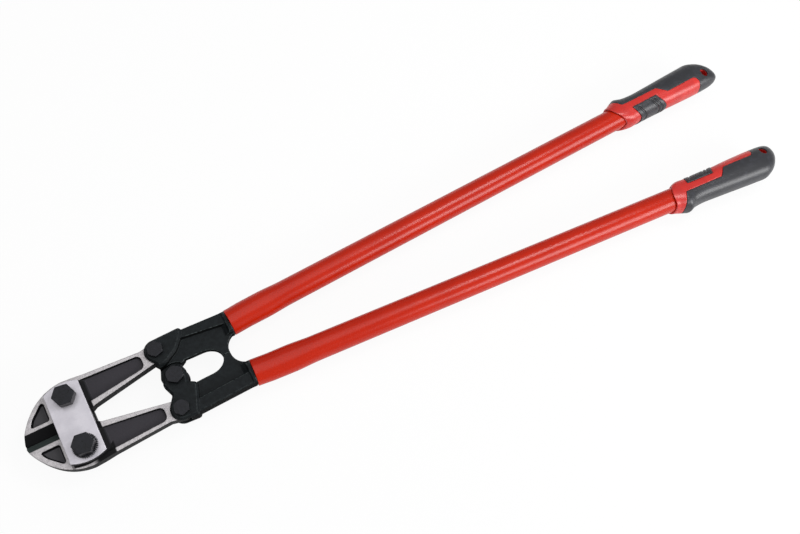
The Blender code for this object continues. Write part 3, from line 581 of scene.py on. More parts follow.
class Dressing(Graph):
    """The nodes of one material: a Principled shader and what feeds it."""

    def __init__(self, name: str) -> None:
        """Make a new material.

        Args:
            name: The material's name.
        """
        self.material = bpy.data.materials.new(name)
        self.material.use_nodes = True
        super().__init__(self.material.node_tree, "ShaderNodeOutputMaterial")
        self.shader = self.add("ShaderNodeBsdfPrincipled")
        self.place = self.add("ShaderNodeTexCoord", output="Object")
        self.feed(self.surface, self.shader)

    def finish(self, **values: Feed) -> bpy.types.Material:
        """Give the Principled shader what it needs.

        Args:
            **values: Values or links by the sockets' names, with _ for a space.

        Returns:
            The material.
        """
        for name, value in values.items():
            self.feed(self.shader.socket.node.inputs[name.replace("_", " ")], value)
        return self.material

    def mix(self, factor: Feed, first: Feed, second: Feed) -> Signal:
        """Colour between two colours."""
        return self.add("ShaderNodeMix", {"data_type": "RGBA"},
                        {0: factor, 6: first, 7: second}, 2)

    def around(self, base: Feed, spread: float, pattern: Signal) -> Signal:
        """Value that a pattern of 0 to 1 moves by half a spread to either side of a base."""
        return base + (pattern - 0.5) * spread

    def split(self, vector: Signal) -> tuple[Signal, ...]:
        """X, Y and Z of a vector."""
        node = self.add("ShaderNodeSeparateXYZ", None, {0: vector}).socket.node
        return tuple(Signal(self, socket) for socket in node.outputs)

    def length(self, x: Feed, y: Feed) -> Signal:
        """Length of a flat vector."""
        flat = self.add("ShaderNodeCombineXYZ", None, {0: x, 1: y})
        return self.add("ShaderNodeVectorMath", {"operation": "LENGTH"}, {0: flat}, "Value")

    def stretched(self, scale: Point) -> Signal:
        """The place on the surface, with each axis multiplied."""
        return self.add("ShaderNodeVectorMath", {"operation": "MULTIPLY"},
                        {0: self.place, 1: scale})

    def noise(self, cloud: Cloud, vector: Optional[Signal] = None) -> Signal:
        """Cloudy pattern, from 0 to 1.

        Args:
            cloud: What the pattern is like.
            vector: Where it lies, if not at the surface's own place.

        Returns:
            The pattern.
        """
        return self.add("ShaderNodeTexNoise", None,
                        {"Vector": vector or self.place, "Scale": 1.0 / cloud.size,
                         "Detail": cloud.detail, "Roughness": cloud.roughness})

    def cells(self, size: float) -> Signal:
        """Distance to the nearest of scattered points, as a share of their spacing."""
        return self.add("ShaderNodeTexVoronoi", None, {"Vector": self.place, "Scale": 1.0 / size})

    def edges(self, low: float, high: float) -> Signal:
        """Mask of the convex edges, or of the creases where high is less than low."""
        return self.add("ShaderNodeNewGeometry", output="Pointiness").rise(low, high)

    def level(self) -> Signal:
        """How level the surface lies at rest, from 0 on a wall to 1 on a level face."""
        return abs(self.split(self.add("ShaderNodeTexCoord", output="Normal"))[2])

    def bump(self, height: Signal, relief: Flat) -> Signal:
        """Bumped normal for a height of 0 to 1, given its real height and its strength."""
        return self.add("ShaderNodeBump", None,
                        {"Distance": relief[0], "Strength": relief[1], "Height": height})


def display(red: int, green: int, blue: int) -> Colour:
    """Linear colour for display values from 0 to 255, by the sRGB curve.

    Args:
        red: Red display value.
        green: Green display value.
        blue: Blue display value.

    Returns:
        The opaque colour.
    """
    def linear(value: int) -> float:
        """Linear share for one display value."""
        share = value / 255
        return share / 12.92 if share <= 0.04045 else ((share + 0.055) / 1.055) ** 2.4
    return (linear(red), linear(green), linear(blue), 1.0)


# ================================================================ finishes
# In a finish, a span, level or edge holds the values between which a mask goes from 0 to 1.
# A relief is the height of the surface's unevenness and how strongly it shows. Gloss is the
# specular level.

def past(place: float, run: Flat) -> Flat:
    """Start and end of a run, measured from a place."""
    return place + run[0], place + run[1]


@dataclass(frozen=True)
class GroundPlate:
    """Bright steel plate, ground flat and left satin, darker on its walls, with painted shade on
    the face towards the jaws.
    """

    datum: Datum
    colour: Colour = display(212, 209, 216)
    dull: Colour = display(192, 189, 197)
    # Colour of the walls, and painted shade on the face towards the jaws.
    wall: Colour = display(38, 37, 40)
    roughness: float = 0.40
    roughness_spread: float = 0.22
    metallic: float = 0.45
    gloss: float = 0.25
    relief: Flat = (0.02 * MM, 0.6)
    # Grinding lines in a metre along each axis, and how the lines vary.
    grinding: Point = (260.0, 2600.0, 2600.0)
    lines: Cloud = Cloud(1.0, 3.0, 0.6)
    cloud: Cloud = Cloud(14 * MM, 3.0)
    speck: Cloud = Cloud(0.7 * MM, 2.0, 0.7)
    tone_span: Flat = (0.30, 0.66)
    level_span: Flat = (0.20, 0.45)
    # How far above the plate's inner face the painted shade there ends and the bright finish
    # starts and is full.
    inner_shade_end: Flat = mm(0.6, 1.4)

    def material(self) -> bpy.types.Material:
        """Make the material.

        Returns:
            The material.
        """
        graph = Dressing("ground plate")
        lines = graph.noise(self.lines, graph.stretched(self.grinding))
        cloud = graph.noise(self.cloud)
        speck = graph.noise(self.speck)
        tone = (lines * 0.35 + cloud * 0.45 + speck * 0.2).rise(*self.tone_span)
        # The walls and the face towards the jaws take the wall colour; on that face it is painted
        # shade.
        height = abs(graph.split(graph.place)[2] - self.datum.middle_z)
        outside = height.rise(*past(self.datum.plate_inner, self.inner_shade_end))
        ground = graph.level().rise(*self.level_span) * outside
        return graph.finish(
            Base_Color=graph.mix(ground, self.wall, graph.mix(tone, self.dull, self.colour)),
            Roughness=graph.around(self.roughness, self.roughness_spread, lines),
            Metallic=self.metallic * ground,
            Specular_IOR_Level=self.gloss,
            Normal=graph.bump(lines * 0.6 + speck * 0.4, self.relief))


@dataclass(frozen=True)
class JawForging:
    """Forged jaw: faces ground bright, hollows left dark, walls blackened, with painted shade on
    the bevels and painted shadow round the side plate.
    """

    datum: Datum
    half: Half
    bright: Colour = display(206, 202, 204)
    grain: Colour = display(160, 157, 160)
    floor: Colour = display(56, 54, 59)
    nose_floor: Colour = display(72, 71, 74)
    fleck: Colour = display(80, 78, 82)
    slope: Colour = display(38, 38, 42)
    wall: Colour = display(17, 17, 19)
    # Painted shade on the ground bevels, darker on the upper half than on the lower, as light
    # falls on each.
    bevel_upper: Colour = display(16, 16, 18)
    bevel_lower: Colour = display(56, 63, 62)
    roughness: float = 0.58
    roughness_spread: float = 0.2
    bare_smoother: float = 0.12
    bare_metallic: float = 0.45
    gloss: float = 0.12
    relief: Flat = (0.10 * MM, 0.5)
    coarse: Cloud = Cloud(0.8 * MM, 3.0, 0.65)
    cloud: Cloud = Cloud(9 * MM)
    pit_size: float = 2.6 * MM
    pit_span: Flat = (0.28, 0.10)
    grain_span: Flat = (0.36, 0.60)
    fleck_span: Flat = (0.45, 0.75)
    fleck_share: float = 0.3
    # How sharp an edge is where wear starts and is full, where the grain lets it through, and
    # how bare it gets.
    worn_edge: Flat = (0.535, 0.60)
    worn_span: Flat = (0.35, 0.6)
    worn_share: float = 0.6
    # How far below the face the ground finish starts and is full, and how level that face,
    # a hollow's floor and a slope are.
    face_run: Flat = mm(0.40, 0.16)
    face_level: Flat = (0.55, 0.9)
    floor_level: Flat = (0.90, 0.97)
    slope_level: Flat = (0.6, 0.85)
    bevel_width: float = 12.5 * MM
    bevel_run: float = 0.6 * MM
    blade_end: float = 46.0 * MM
    # The side plate's straight ends, and the circle that its bowed edge follows.
    plate_front: float = 37.4 * MM
    plate_rear: float = 77.5 * MM
    plate_centre: float = 55.5 * MM
    plate_bow: float = 46.7 * MM
    # Where the painted shadow round the plate rises and falls, past its ends and its bowed edge.
    shadow_under_edge: Flat = mm(-1.0, 0.0)
    rear_shadow_fall: Flat = mm(3.2, 4.4)
    rear_shadow_bow_fall: Flat = mm(3.6, 4.4)
    beside_shadow_fall: Flat = mm(2.0, 2.6)
    beside_shadow_front: Flat = mm(1.0, 2.0)
    beside_shadow_rear: Flat = mm(0.0, 1.0)
    corner_shadow_rise: Flat = mm(-22.0, -12.0)
    corner_shadow_fall: Flat = mm(7.0, 9.0)
    # A thin painted shadow on the face along the plate's front edge.
    front_shadow_rise: Flat = mm(-0.9, -0.5)
    front_shadow_fall: Flat = mm(2.0, 3.0)
    front_shadow_share: float = 0.6

    def scale(self, graph: Dressing, station: Signal, across: Signal) -> Signal:
        """Mask of the painted shadow that the side plate casts on the jaw, in dark bands round the
        plate.

        Args:
            graph: The material's nodes.
            station: Distance from the jaws' tip.
            across: Distance from the middle line.

        Returns:
            The mask.
        """
        # Bands of painted shadow behind the plate, beside its bowed edge and at its rear corner.
        rear, bow = self.plate_rear, self.plate_bow
        reach = graph.length(station - self.plate_centre, across)
        rear_shadow = station.within(past(rear, self.shadow_under_edge), past(rear, self.rear_shadow_fall))
        scale = rear_shadow * reach.rise(*reversed(past(bow, self.rear_shadow_bow_fall)))
        if self.half is Half.UPPER:
            return scale
        beside = (reach.within(past(bow, self.shadow_under_edge), past(bow, self.beside_shadow_fall))
                  * station.rise(*past(self.plate_front, self.beside_shadow_front))
                  * station.rise(*reversed(past(rear, self.beside_shadow_rear))))
        corner = (reach.rise(*past(bow, self.shadow_under_edge))
                  * station.rise(*past(rear, self.corner_shadow_rise))
                  * station.rise(*reversed(past(rear, self.corner_shadow_fall))))
        return scale.larger(beside).larger(corner)

    def material(self) -> bpy.types.Material:
        """Make the material.

        Returns:
            The material.
        """
        graph = Dressing(f"forged jaw {self.half.value}")
        x, y, z = graph.split(graph.place)
        blade_end = self.datum.tip_x + self.blade_end
        below = self.datum.jaw_half - abs(z - self.datum.middle_z)
        level = graph.level()
        face = below.rise(*self.face_run) * level.rise(*self.face_level)
        hollow = level.rise(*self.floor_level) * (1 - face)
        station = x - self.datum.tip_x
        # Painted shadow round the side plate.
        scale = self.scale(graph, station, y * self.half.side)
        # Thin painted shadow along the plate's front edge.
        seam = station.within(past(self.plate_front, self.front_shadow_rise),
                              past(self.plate_front, self.front_shadow_fall))
        mouth = (abs(y).rise(self.bevel_width + self.bevel_run, self.bevel_width)
                 * x.rise(blade_end + MM, blade_end))
        coarse = graph.noise(self.coarse)
        cloud = graph.noise(self.cloud)
        pits = graph.cells(self.pit_size).rise(*self.pit_span)

        sunk = graph.mix(x.rise(blade_end, blade_end - MM), self.floor, self.nose_floor)
        # Painted shade on this half's bevel.
        bevel = self.bevel_upper if self.half is Half.UPPER else self.bevel_lower
        flecks = coarse.rise(*self.fleck_span) * hollow * self.fleck_share
        dark = graph.mix(level.rise(*self.slope_level), self.wall, self.slope)
        # The painted shadow round the plate takes the walls' black.
        for mask, colour in ((hollow, sunk), (mouth * (1 - face), bevel), (flecks, self.fleck),
                             (scale, self.wall)):
            dark = graph.mix(mask, dark, colour)
        grain = (coarse * 0.75 + cloud * 0.25).rise(*self.grain_span)
        ground = graph.mix(grain, self.grain, self.bright)
        # The thin painted shadow along the plate's front edge darkens the ground face.
        ground = graph.mix(seam * self.front_shadow_share, ground, self.wall)
        worn = graph.edges(*self.worn_edge) * coarse.rise(*self.worn_span) * (1 - mouth)
        # No bare metal shows in the painted shadow round the plate.
        bare = face.larger(worn * self.worn_share) * (1 - scale)
        return graph.finish(
            Base_Color=graph.mix(bare, dark, ground),
            Roughness=graph.around(self.roughness - bare * self.bare_smoother,
                                   self.roughness_spread, coarse),
            Metallic=bare * self.bare_metallic,
            Specular_IOR_Level=self.gloss,
            Normal=graph.bump(coarse * 0.6 + cloud * 0.2 - pits * 0.2 * (1 - bare),
                              self.relief))


@dataclass(frozen=True)
class BlackenedSteel:
    """Blackened bolt, nut or washer with thin bright wear along its edges, and painted shade that
    darkens its walls.
    """

    colour: Colour = display(20, 21, 26)
    dusty: Colour = display(30, 31, 37)
    worn: Colour = display(150, 152, 156)
    # Painted shade on the walls.
    wall: Colour = display(12, 12, 14)
    roughness: float = 0.30
    roughness_spread: float = 0.25
    worn_smoother: float = 0.1
    worn_metallic: float = 0.6
    gloss: float = 0.20
    relief: Flat = (0.05 * MM, 0.5)
    cloud: Cloud = Cloud(3.5 * MM, 3.0)
    grain: Cloud = Cloud(0.5 * MM, 2.0, 0.7)
    wear: Cloud = Cloud(2.2 * MM)
    dust_span: Flat = (0.35, 0.7)
    worn_edge: Flat = (0.53, 0.60)
    worn_span: Flat = (0.38, 0.62)
    shade_wall_level: Flat = (0.6, 0.3)

    def material(self) -> bpy.types.Material:
        """Make the material.

        Returns:
            The material.
        """
        graph = Dressing("blackened steel")
        cloud = graph.noise(self.cloud)
        grain = graph.noise(self.grain)
        wear = graph.edges(*self.worn_edge) * graph.noise(self.wear).rise(*self.worn_span)
        oxide_and_shade = graph.mix(cloud.rise(*self.dust_span), self.colour, self.dusty)
        # Walls take painted shade.
        oxide_and_shade = graph.mix(graph.level().rise(*self.shade_wall_level), oxide_and_shade, self.wall)
        return graph.finish(
            Base_Color=graph.mix(wear, oxide_and_shade, self.worn),
            Roughness=graph.around(self.roughness, self.roughness_spread, cloud)
            - wear * self.worn_smoother,
            Metallic=wear * self.worn_metallic,
            Specular_IOR_Level=self.gloss,
            Normal=graph.bump(grain * 0.5 + cloud * 0.5, self.relief))


@dataclass(frozen=True)
class BlackForging:
    """Knuckle forging: dull black, slightly blue, a little lumpy, paler along its edges from wear
    and a painted highlight, with painted shade on its walls.
    """

    colour: Colour = display(21, 24, 26)
    bloom: Colour = display(30, 34, 36)
    # Paler edge colour: rubbed wear and a painted highlight.
    edge: Colour = display(92, 99, 100)
    # Painted shade on the walls.
    wall: Colour = display(8, 9, 10)
    roughness: float = 0.50
    roughness_spread: float = 0.25
    wall_rougher: float = 0.4
    rubbed_and_highlight_share: float = 0.8
    rubbed_and_highlight_metallic: float = 0.4
    gloss: float = 0.10
    relief: Flat = (0.16 * MM, 0.55)
    lumps: Cloud = Cloud(5.0 * MM, 3.0, 0.55)
    grain: Cloud = Cloud(0.6 * MM, 2.0, 0.7)
    rub: Cloud = Cloud(3.0 * MM)
    scale_size: float = 1.6 * MM
    scale_span: Flat = (0.05, 0.45)
    bloom_span: Flat = (0.36, 0.66)
    rubbed_and_highlight_edge: Flat = (0.506, 0.55)
    rubbed_and_highlight_span: Flat = (0.36, 0.64)
    shade_wall_level: Flat = (0.70, 0.30)

    def material(self) -> bpy.types.Material:
        """Make the material.

        Returns:
            The material.
        """
        graph = Dressing("black forging")
        lumps = graph.noise(self.lumps)
        grain = graph.noise(self.grain)
        scale = graph.cells(self.scale_size).rise(*self.scale_span)
        # Rubbed wear and a painted highlight along the edges.
        rubbed_and_highlight = graph.edges(*self.rubbed_and_highlight_edge) * graph.noise(self.rub).rise(*self.rubbed_and_highlight_span)
        # Painted shade on the walls.
        wall = graph.level().rise(*self.shade_wall_level)
        bloom = (lumps * 0.7 + grain * 0.3).rise(*self.bloom_span)
        skin = graph.mix(wall, graph.mix(bloom, self.colour, self.bloom), self.wall)
        return graph.finish(
            Base_Color=graph.mix(rubbed_and_highlight * self.rubbed_and_highlight_share, skin, self.edge),
            Roughness=graph.around(self.roughness, self.roughness_spread, lumps)
            + wall * self.wall_rougher,
            Metallic=rubbed_and_highlight * self.rubbed_and_highlight_metallic,
            Specular_IOR_Level=self.gloss,
            Normal=graph.bump(lumps * 0.55 + grain * 0.25 + scale * 0.2, self.relief))


@dataclass(frozen=True)
class PowderCoat:
    """Orange-red powder coat with a fine orange-peel skin."""

    colour: Colour = display(189, 34, 4)
    shade: Colour = display(180, 30, 4)
    roughness: float = 0.26
    peel_spread: float = 0.12
    dust_spread: float = 0.08
    gloss: float = 0.30
    relief: Flat = (0.06 * MM, 0.5)
    cloud: Cloud = Cloud(60 * MM, 3.0)
    peel: Cloud = Cloud(1.8 * MM, 2.0, 0.45)
    dust: Cloud = Cloud(0.35 * MM, 1.0)
    shade_span: Flat = (0.3, 0.7)

    def material(self) -> bpy.types.Material:
        """Make the material.

        Returns:
            The material.
        """
        graph = Dressing("powder coat")
        peel = graph.noise(self.peel)
        roughness = graph.around(self.roughness, self.peel_spread, peel)
        shade = graph.noise(self.cloud).rise(*self.shade_span)
        return graph.finish(
            Base_Color=graph.mix(shade, self.shade, self.colour),
            Roughness=graph.around(roughness, self.dust_spread, graph.noise(self.dust)),
            Specular_IOR_Level=self.gloss,
            Normal=graph.bump(peel, self.relief))


@dataclass(frozen=True)
class MouldedPlastic:
    """Red moulded plastic with a fine spark-eroded texture."""

    colour: Colour = display(203, 34, 25)
    shade: Colour = display(190, 27, 20)
    roughness: float = 0.36
    roughness_spread: float = 0.2
    gloss: float = 0.7
    relief: Flat = (0.035 * MM, 0.5)
    flow: Cloud = Cloud(18 * MM, 3.0)
    grain: Cloud = Cloud(0.45 * MM, 2.0, 0.6)
    shade_span: Flat = (0.3, 0.7)

    def material(self) -> bpy.types.Material:
        """Make the material.

        Returns:
            The material.
        """
        graph = Dressing("moulded plastic")
        grain = graph.noise(self.grain)
        shade = graph.noise(self.flow).rise(*self.shade_span)
        return graph.finish(
            Base_Color=graph.mix(shade, self.shade, self.colour),
            Roughness=graph.around(self.roughness, self.roughness_spread, grain),
            Specular_IOR_Level=self.gloss,
            Normal=graph.bump(grain, self.relief))


@dataclass(frozen=True)
class MouldedRubber:
    """Dark grey rubber, matt, with a fine grain, a trace of dust and painted shade in its creases.
    """

    colour: Colour = display(36, 37, 42)
    dusty: Colour = display(48, 49, 56)
    # Painted shade in the creases.
    crease_shade: Colour = display(8, 9, 10)
    roughness: float = 0.40
    roughness_spread: float = 0.18
    gloss: float = 0.62
    relief: Flat = (0.05 * MM, 0.6)
    dust: Cloud = Cloud(9 * MM, 4.0, 0.6)
    grain: Cloud = Cloud(0.55 * MM, 2.0, 0.7)
    dust_span: Flat = (0.42, 0.75)
    crease_shade_edge: Flat = (0.485, 0.455)

    def material(self) -> bpy.types.Material:
        """Make the material.

        Returns:
            The material.
        """
        graph = Dressing("moulded rubber")
        grain = graph.noise(self.grain)
        dust = graph.noise(self.dust).rise(*self.dust_span)
        skin = graph.mix(dust, self.colour, self.dusty)
        return graph.finish(
            # Painted shade in the creases.
            Base_Color=graph.mix(graph.edges(*self.crease_shade_edge), skin, self.crease_shade),
            Roughness=graph.around(self.roughness, self.roughness_spread, grain),
            Specular_IOR_Level=self.gloss,
            Normal=graph.bump(grain, self.relief))


@dataclass(frozen=True)
class Finishes:
    """Every finish of the tool, made once."""

    plate: bpy.types.Material
    jaw: dict[Half, bpy.types.Material]
    blackened: bpy.types.Material
    forging: bpy.types.Material
    paint: bpy.types.Material
    plastic: bpy.types.Material
    rubber: bpy.types.Material

    @classmethod
    def make(cls, datum: Datum) -> "Finishes":
        """Make all the materials.

        Args:
            datum: Where the tool lies.

        Returns:
            The finishes.
        """
        return cls(
            plate=GroundPlate(datum).material(),
            jaw={half: JawForging(datum, half).material() for half in Half},
            blackened=BlackenedSteel().material(),
            forging=BlackForging().material(),
            paint=PowderCoat().material(),
            plastic=MouldedPlastic().material(),
            rubber=MouldedRubber().material(),
        )


# ================================================================ placing
@dataclass
class Workshop:
    """What every sub-assembly needs: the datum and the finishes."""

    datum: Datum
    finishes: Finishes

    def place(self, item: bpy.types.Object, node: str, word: str,
              surface: bpy.types.Material, slot: Slot, half: Half = Half.UPPER) -> None:
        """Put a finished piece in the frame.

        Args:
            item: The piece, modelled in the tool's stations.
            node: The CAD node that it stands for, and whose body it moves with.
            word: How it was made, which ends the piece's name.
            surface: Its material.
            slot: The record's slot for its finish; not used.
            half: LOWER turns the piece half a turn about the tool's long axis.
        """
        if half is Half.LOWER:
            item.data.transform(Matrix.Rotation(math.pi, 4, "X"))
        item.data.transform(Matrix.Translation((self.datum.tip_x, 0.0, self.datum.middle_z)))
        item.name = f"{node}_{word}"
        item.data.name = item.name
        item.data.materials.clear()
        item.data.materials.append(surface)
        for polygon in item.data.polygons:
            polygon.material_index = 0
        body = frame["nodes"][node]["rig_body"]
        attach(item, body)
        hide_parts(node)
        LOG.info("%s rides on %s with %d faces", item.name, body, len(item.data.polygons))


# ================================================================ head
@dataclass
class Fastener:
    """One bolt with its washer and nut, on an upright axis.

    The washer's size across, the axis and the heights come from the CAD boxes. Heights are
    measured from the middle plane.
    """

    shop: Workshop
    name: str
    label: str
    flats: float
    radius: float
    turn: float
    washer_rim: Rim = Rim.PLAIN
    nut_turn: float = 15.0
    # The cone that turns a hexagon's corners off: its slope in degrees, and the flat circle
    # that it leaves as a share of the size across flats.
    chamfer: float = 25.0
    face: float = 1.04
    cone_sides: int = 144
    # Thread: the groove's depth and the length of the pointed end are shares of the pitch.
    pitch: float = 1.75 * MM
    thread_depth: float = 0.5
    thread_point: float = 0.8
    thread_flank: float = 2.6
    thread_rows: int = 8
    shank_sides: int = 48
    sink: float = 0.9 * MM
    washer_sides: int = 120
    washer_edge: float = 0.25 * MM
    # Teeth: where the tip ends and the root starts and ends, as shares of one tooth.
    teeth: int = 39
    tooth_depth: float = 2.2 * MM
    tooth_tip: float = 0.09
    tooth_root: Flat = (0.34, 0.66)
    bolt_voxel: float = 0.20 * MM
    nut_voxel: float = 0.28 * MM

    def node(self, kind: str) -> str:
        """Name of the CAD node of one of the three pieces."""
        return f"{self.name}_{kind}{self.label}"

    def heights(self, node: str) -> Flat:
        """Bottom and top of a node, from the middle plane."""
        low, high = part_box(node)
        return low.z - self.shop.datum.middle_z, high.z - self.shop.datum.middle_z

    @property
    def axis(self) -> Flat:
        """Station and place across of the bolt's axis."""
        centre = middle(self.node("washer"))
        return centre.x - self.shop.datum.tip_x, centre.y

    def hexagon(self, turn: float, bottom: float, top: float, both: bool) -> bpy.types.Object:
        """Hexagon whose corners are turned off to a shallow cone.

        Args:
            turn: Angle of one corner from X, in degrees.
            bottom: Height of the underside.
            top: Height of the top.
            both: True turns the corners off at both ends.

        Returns:
            The new object.
        """
        corner = self.flats / math.sqrt(3)
        reach = corner + MM
        slope = math.tan(math.radians(self.chamfer))
        flat = self.flats / 2 * self.face
        drop = (reach - flat) * slope
        profile = [(reach, bottom - MM), (reach, top - drop), (flat - MM / slope, top + MM)]
        if both:
            profile = [(flat - MM / slope, bottom - MM), (reach, bottom + drop), *profile[1:]]
        # Six corners, 60 degrees apart.
        body = prism("hexagon", arc(*self.axis, corner, turn, turn + 300.0, 60.0), bottom, top)
        keep(body, turned("cone", *self.axis, profile, self.cone_sides))
        return body

    def shank(self, end: float, top: float, threaded: float) -> bpy.types.Object:
        """Shank with a rolled thread on its lower part.

        Args:
            end: Height of the lower end.
            top: Height where the shank ends inside the head.
            threaded: Height where the thread runs out.

        Returns:
            The new object.
        """
        x, y = self.axis
        depth = self.thread_depth * self.pitch
        count = math.ceil((threaded - end) / (self.pitch / self.thread_rows))
        rings = []
        for row in range(count + 1):
            z = end + (threaded - end) * row / count
            lead = min(1.0, (z - end) / self.pitch, (threaded - z) / self.pitch)
            point = max(0.0, 1.0 - (z - end) / (self.thread_point * self.pitch)) * depth
            ring = []
            for side, (cosine, sine) in enumerate(directions(self.shank_sides)):
                phase = ((z - end) / self.pitch - side / self.shank_sides) % 1.0
                groove = depth * lead * max(0.0, 1.0 - abs(phase - 0.5) * self.thread_flank)
                radius = self.radius - max(groove, point)
                ring.append((x + radius * cosine, y + radius * sine, z))
            rings.append(ring)
        rings.append([(px, py, top) for px, py, _ in rings[-1]])
        return loft("shank", rings)

    def build_bolt(self) -> bpy.types.Object:
        """Build the bolt with its head and threaded shank.

        Returns:
            The new object.
        """
        end, top = self.heights(self.node("bolt"))
        under_head = self.node("washer")
        if self.heights(under_head)[1] < 0:
            # The washer lies under the nut, so the head sits on the knuckle.
            under_head = "knuckle_upper"
        seat = self.heights(under_head)[1] + GAP
        bolt = self.hexagon(self.turn, seat, top, False)
        nut_top = self.heights(self.node("nut"))[1]
        join(bolt, self.shank(end, (seat + top) / 2, nut_top + self.pitch))
        soften(bolt, self.bolt_voxel)
        return bolt

    def build_nut(self) -> bpy.types.Object:
        """Build the nut with its countersunk hole.

        Returns:
            The new object.
        """
        bottom, top = self.heights(self.node("nut"))
        nut = self.hexagon(self.nut_turn, bottom, top, True)
        hole = self.radius + GAP
        sink = self.sink
        cut(nut, turned("hole", *self.axis, [
            (hole + 2 * sink, bottom - sink), (hole, bottom + sink),
            (hole, top - sink), (hole + 2 * sink, top + sink)]))
        soften(nut, self.nut_voxel)
        return nut

    def build_washer(self) -> bpy.types.Object:
        """Build the washer with a plain or a toothed rim.

        Returns:
            The new object.
        """
        bottom, top = self.heights(self.node("washer"))
        radius = extent(self.node("washer")).x / 2
        if self.washer_rim is Rim.PLAIN:
            washer = turned("washer", *self.axis, [(radius, bottom), (radius, top)],
                            self.washer_sides)
        else:
            washer = prism("washer", self.toothed(radius), bottom, top)
        drill(washer, self.axis, self.radius + GAP, bottom - MM, top + MM)
        trim(washer, self.washer_edge)
        return washer

    def toothed(self, radius: float) -> list[Flat]:
        """Outline of a rim of narrow pointed teeth.

        Args:
            radius: Radius over the teeth.

        Returns:
            The outline.
        """
        outline: list[Flat] = []
        pitch = 360.0 / self.teeth
        root = radius - self.tooth_depth
        for angle in (tooth * pitch for tooth in range(self.teeth)):
            for at, start, end in ((radius, -self.tooth_tip, self.tooth_tip),
                                   (root, *self.tooth_root)):
                outline.extend(arc(*self.axis, at, angle + start * pitch, angle + end * pitch,
                                   pitch))
        return outline

    def build(self) -> None:
        """Build the three pieces and put them in place."""
        black = self.shop.finishes.blackened
        for kind, make in (("bolt", self.build_bolt), ("washer", self.build_washer),
                           ("nut", self.build_nut)):
            self.shop.place(make(), self.node(kind), "blackened", black, Slot.BLACK)


@dataclass
class SidePlate:
    """One of the two plates that hold the jaw bolts, with straight ends and bowed edges."""

    shop: Workshop
    side: int
    front_y: float = 42.3 * MM
    rear_y: float = 43.8 * MM
    crown_x: float = 55.5 * MM
    bolt_radius: float = 7.0 * MM
    edge: float = 0.7 * MM

    @property
    def node(self) -> str:
        """Name of the CAD node."""
        return "side_plate_front" if self.side > 0 else "side_plate_back"

    def build(self) -> None:
        """Build the plate and put it in place."""
        datum = self.shop.datum
        low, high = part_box(self.node)
        front, rear = low.x - datum.tip_x, high.x - datum.tip_x
        top = arc_through((rear, self.rear_y), (self.crown_x, high.y), (front, self.front_y))
        outline = [(x, -y) for x, y in reversed(top)] + top
        plate = prism("plate", outline, low.z - datum.middle_z, high.z - datum.middle_z)
        reach = 2 * datum.plate_outer
        for y in (datum.jaw_bolt[1], -datum.jaw_bolt[1]):
            drill(plate, (datum.jaw_bolt[0], y), self.bolt_radius + GAP, -reach, reach)
        trim(plate, self.edge)
        self.shop.place(plate, self.node, "ground", self.shop.finishes.plate, Slot.PLATE)


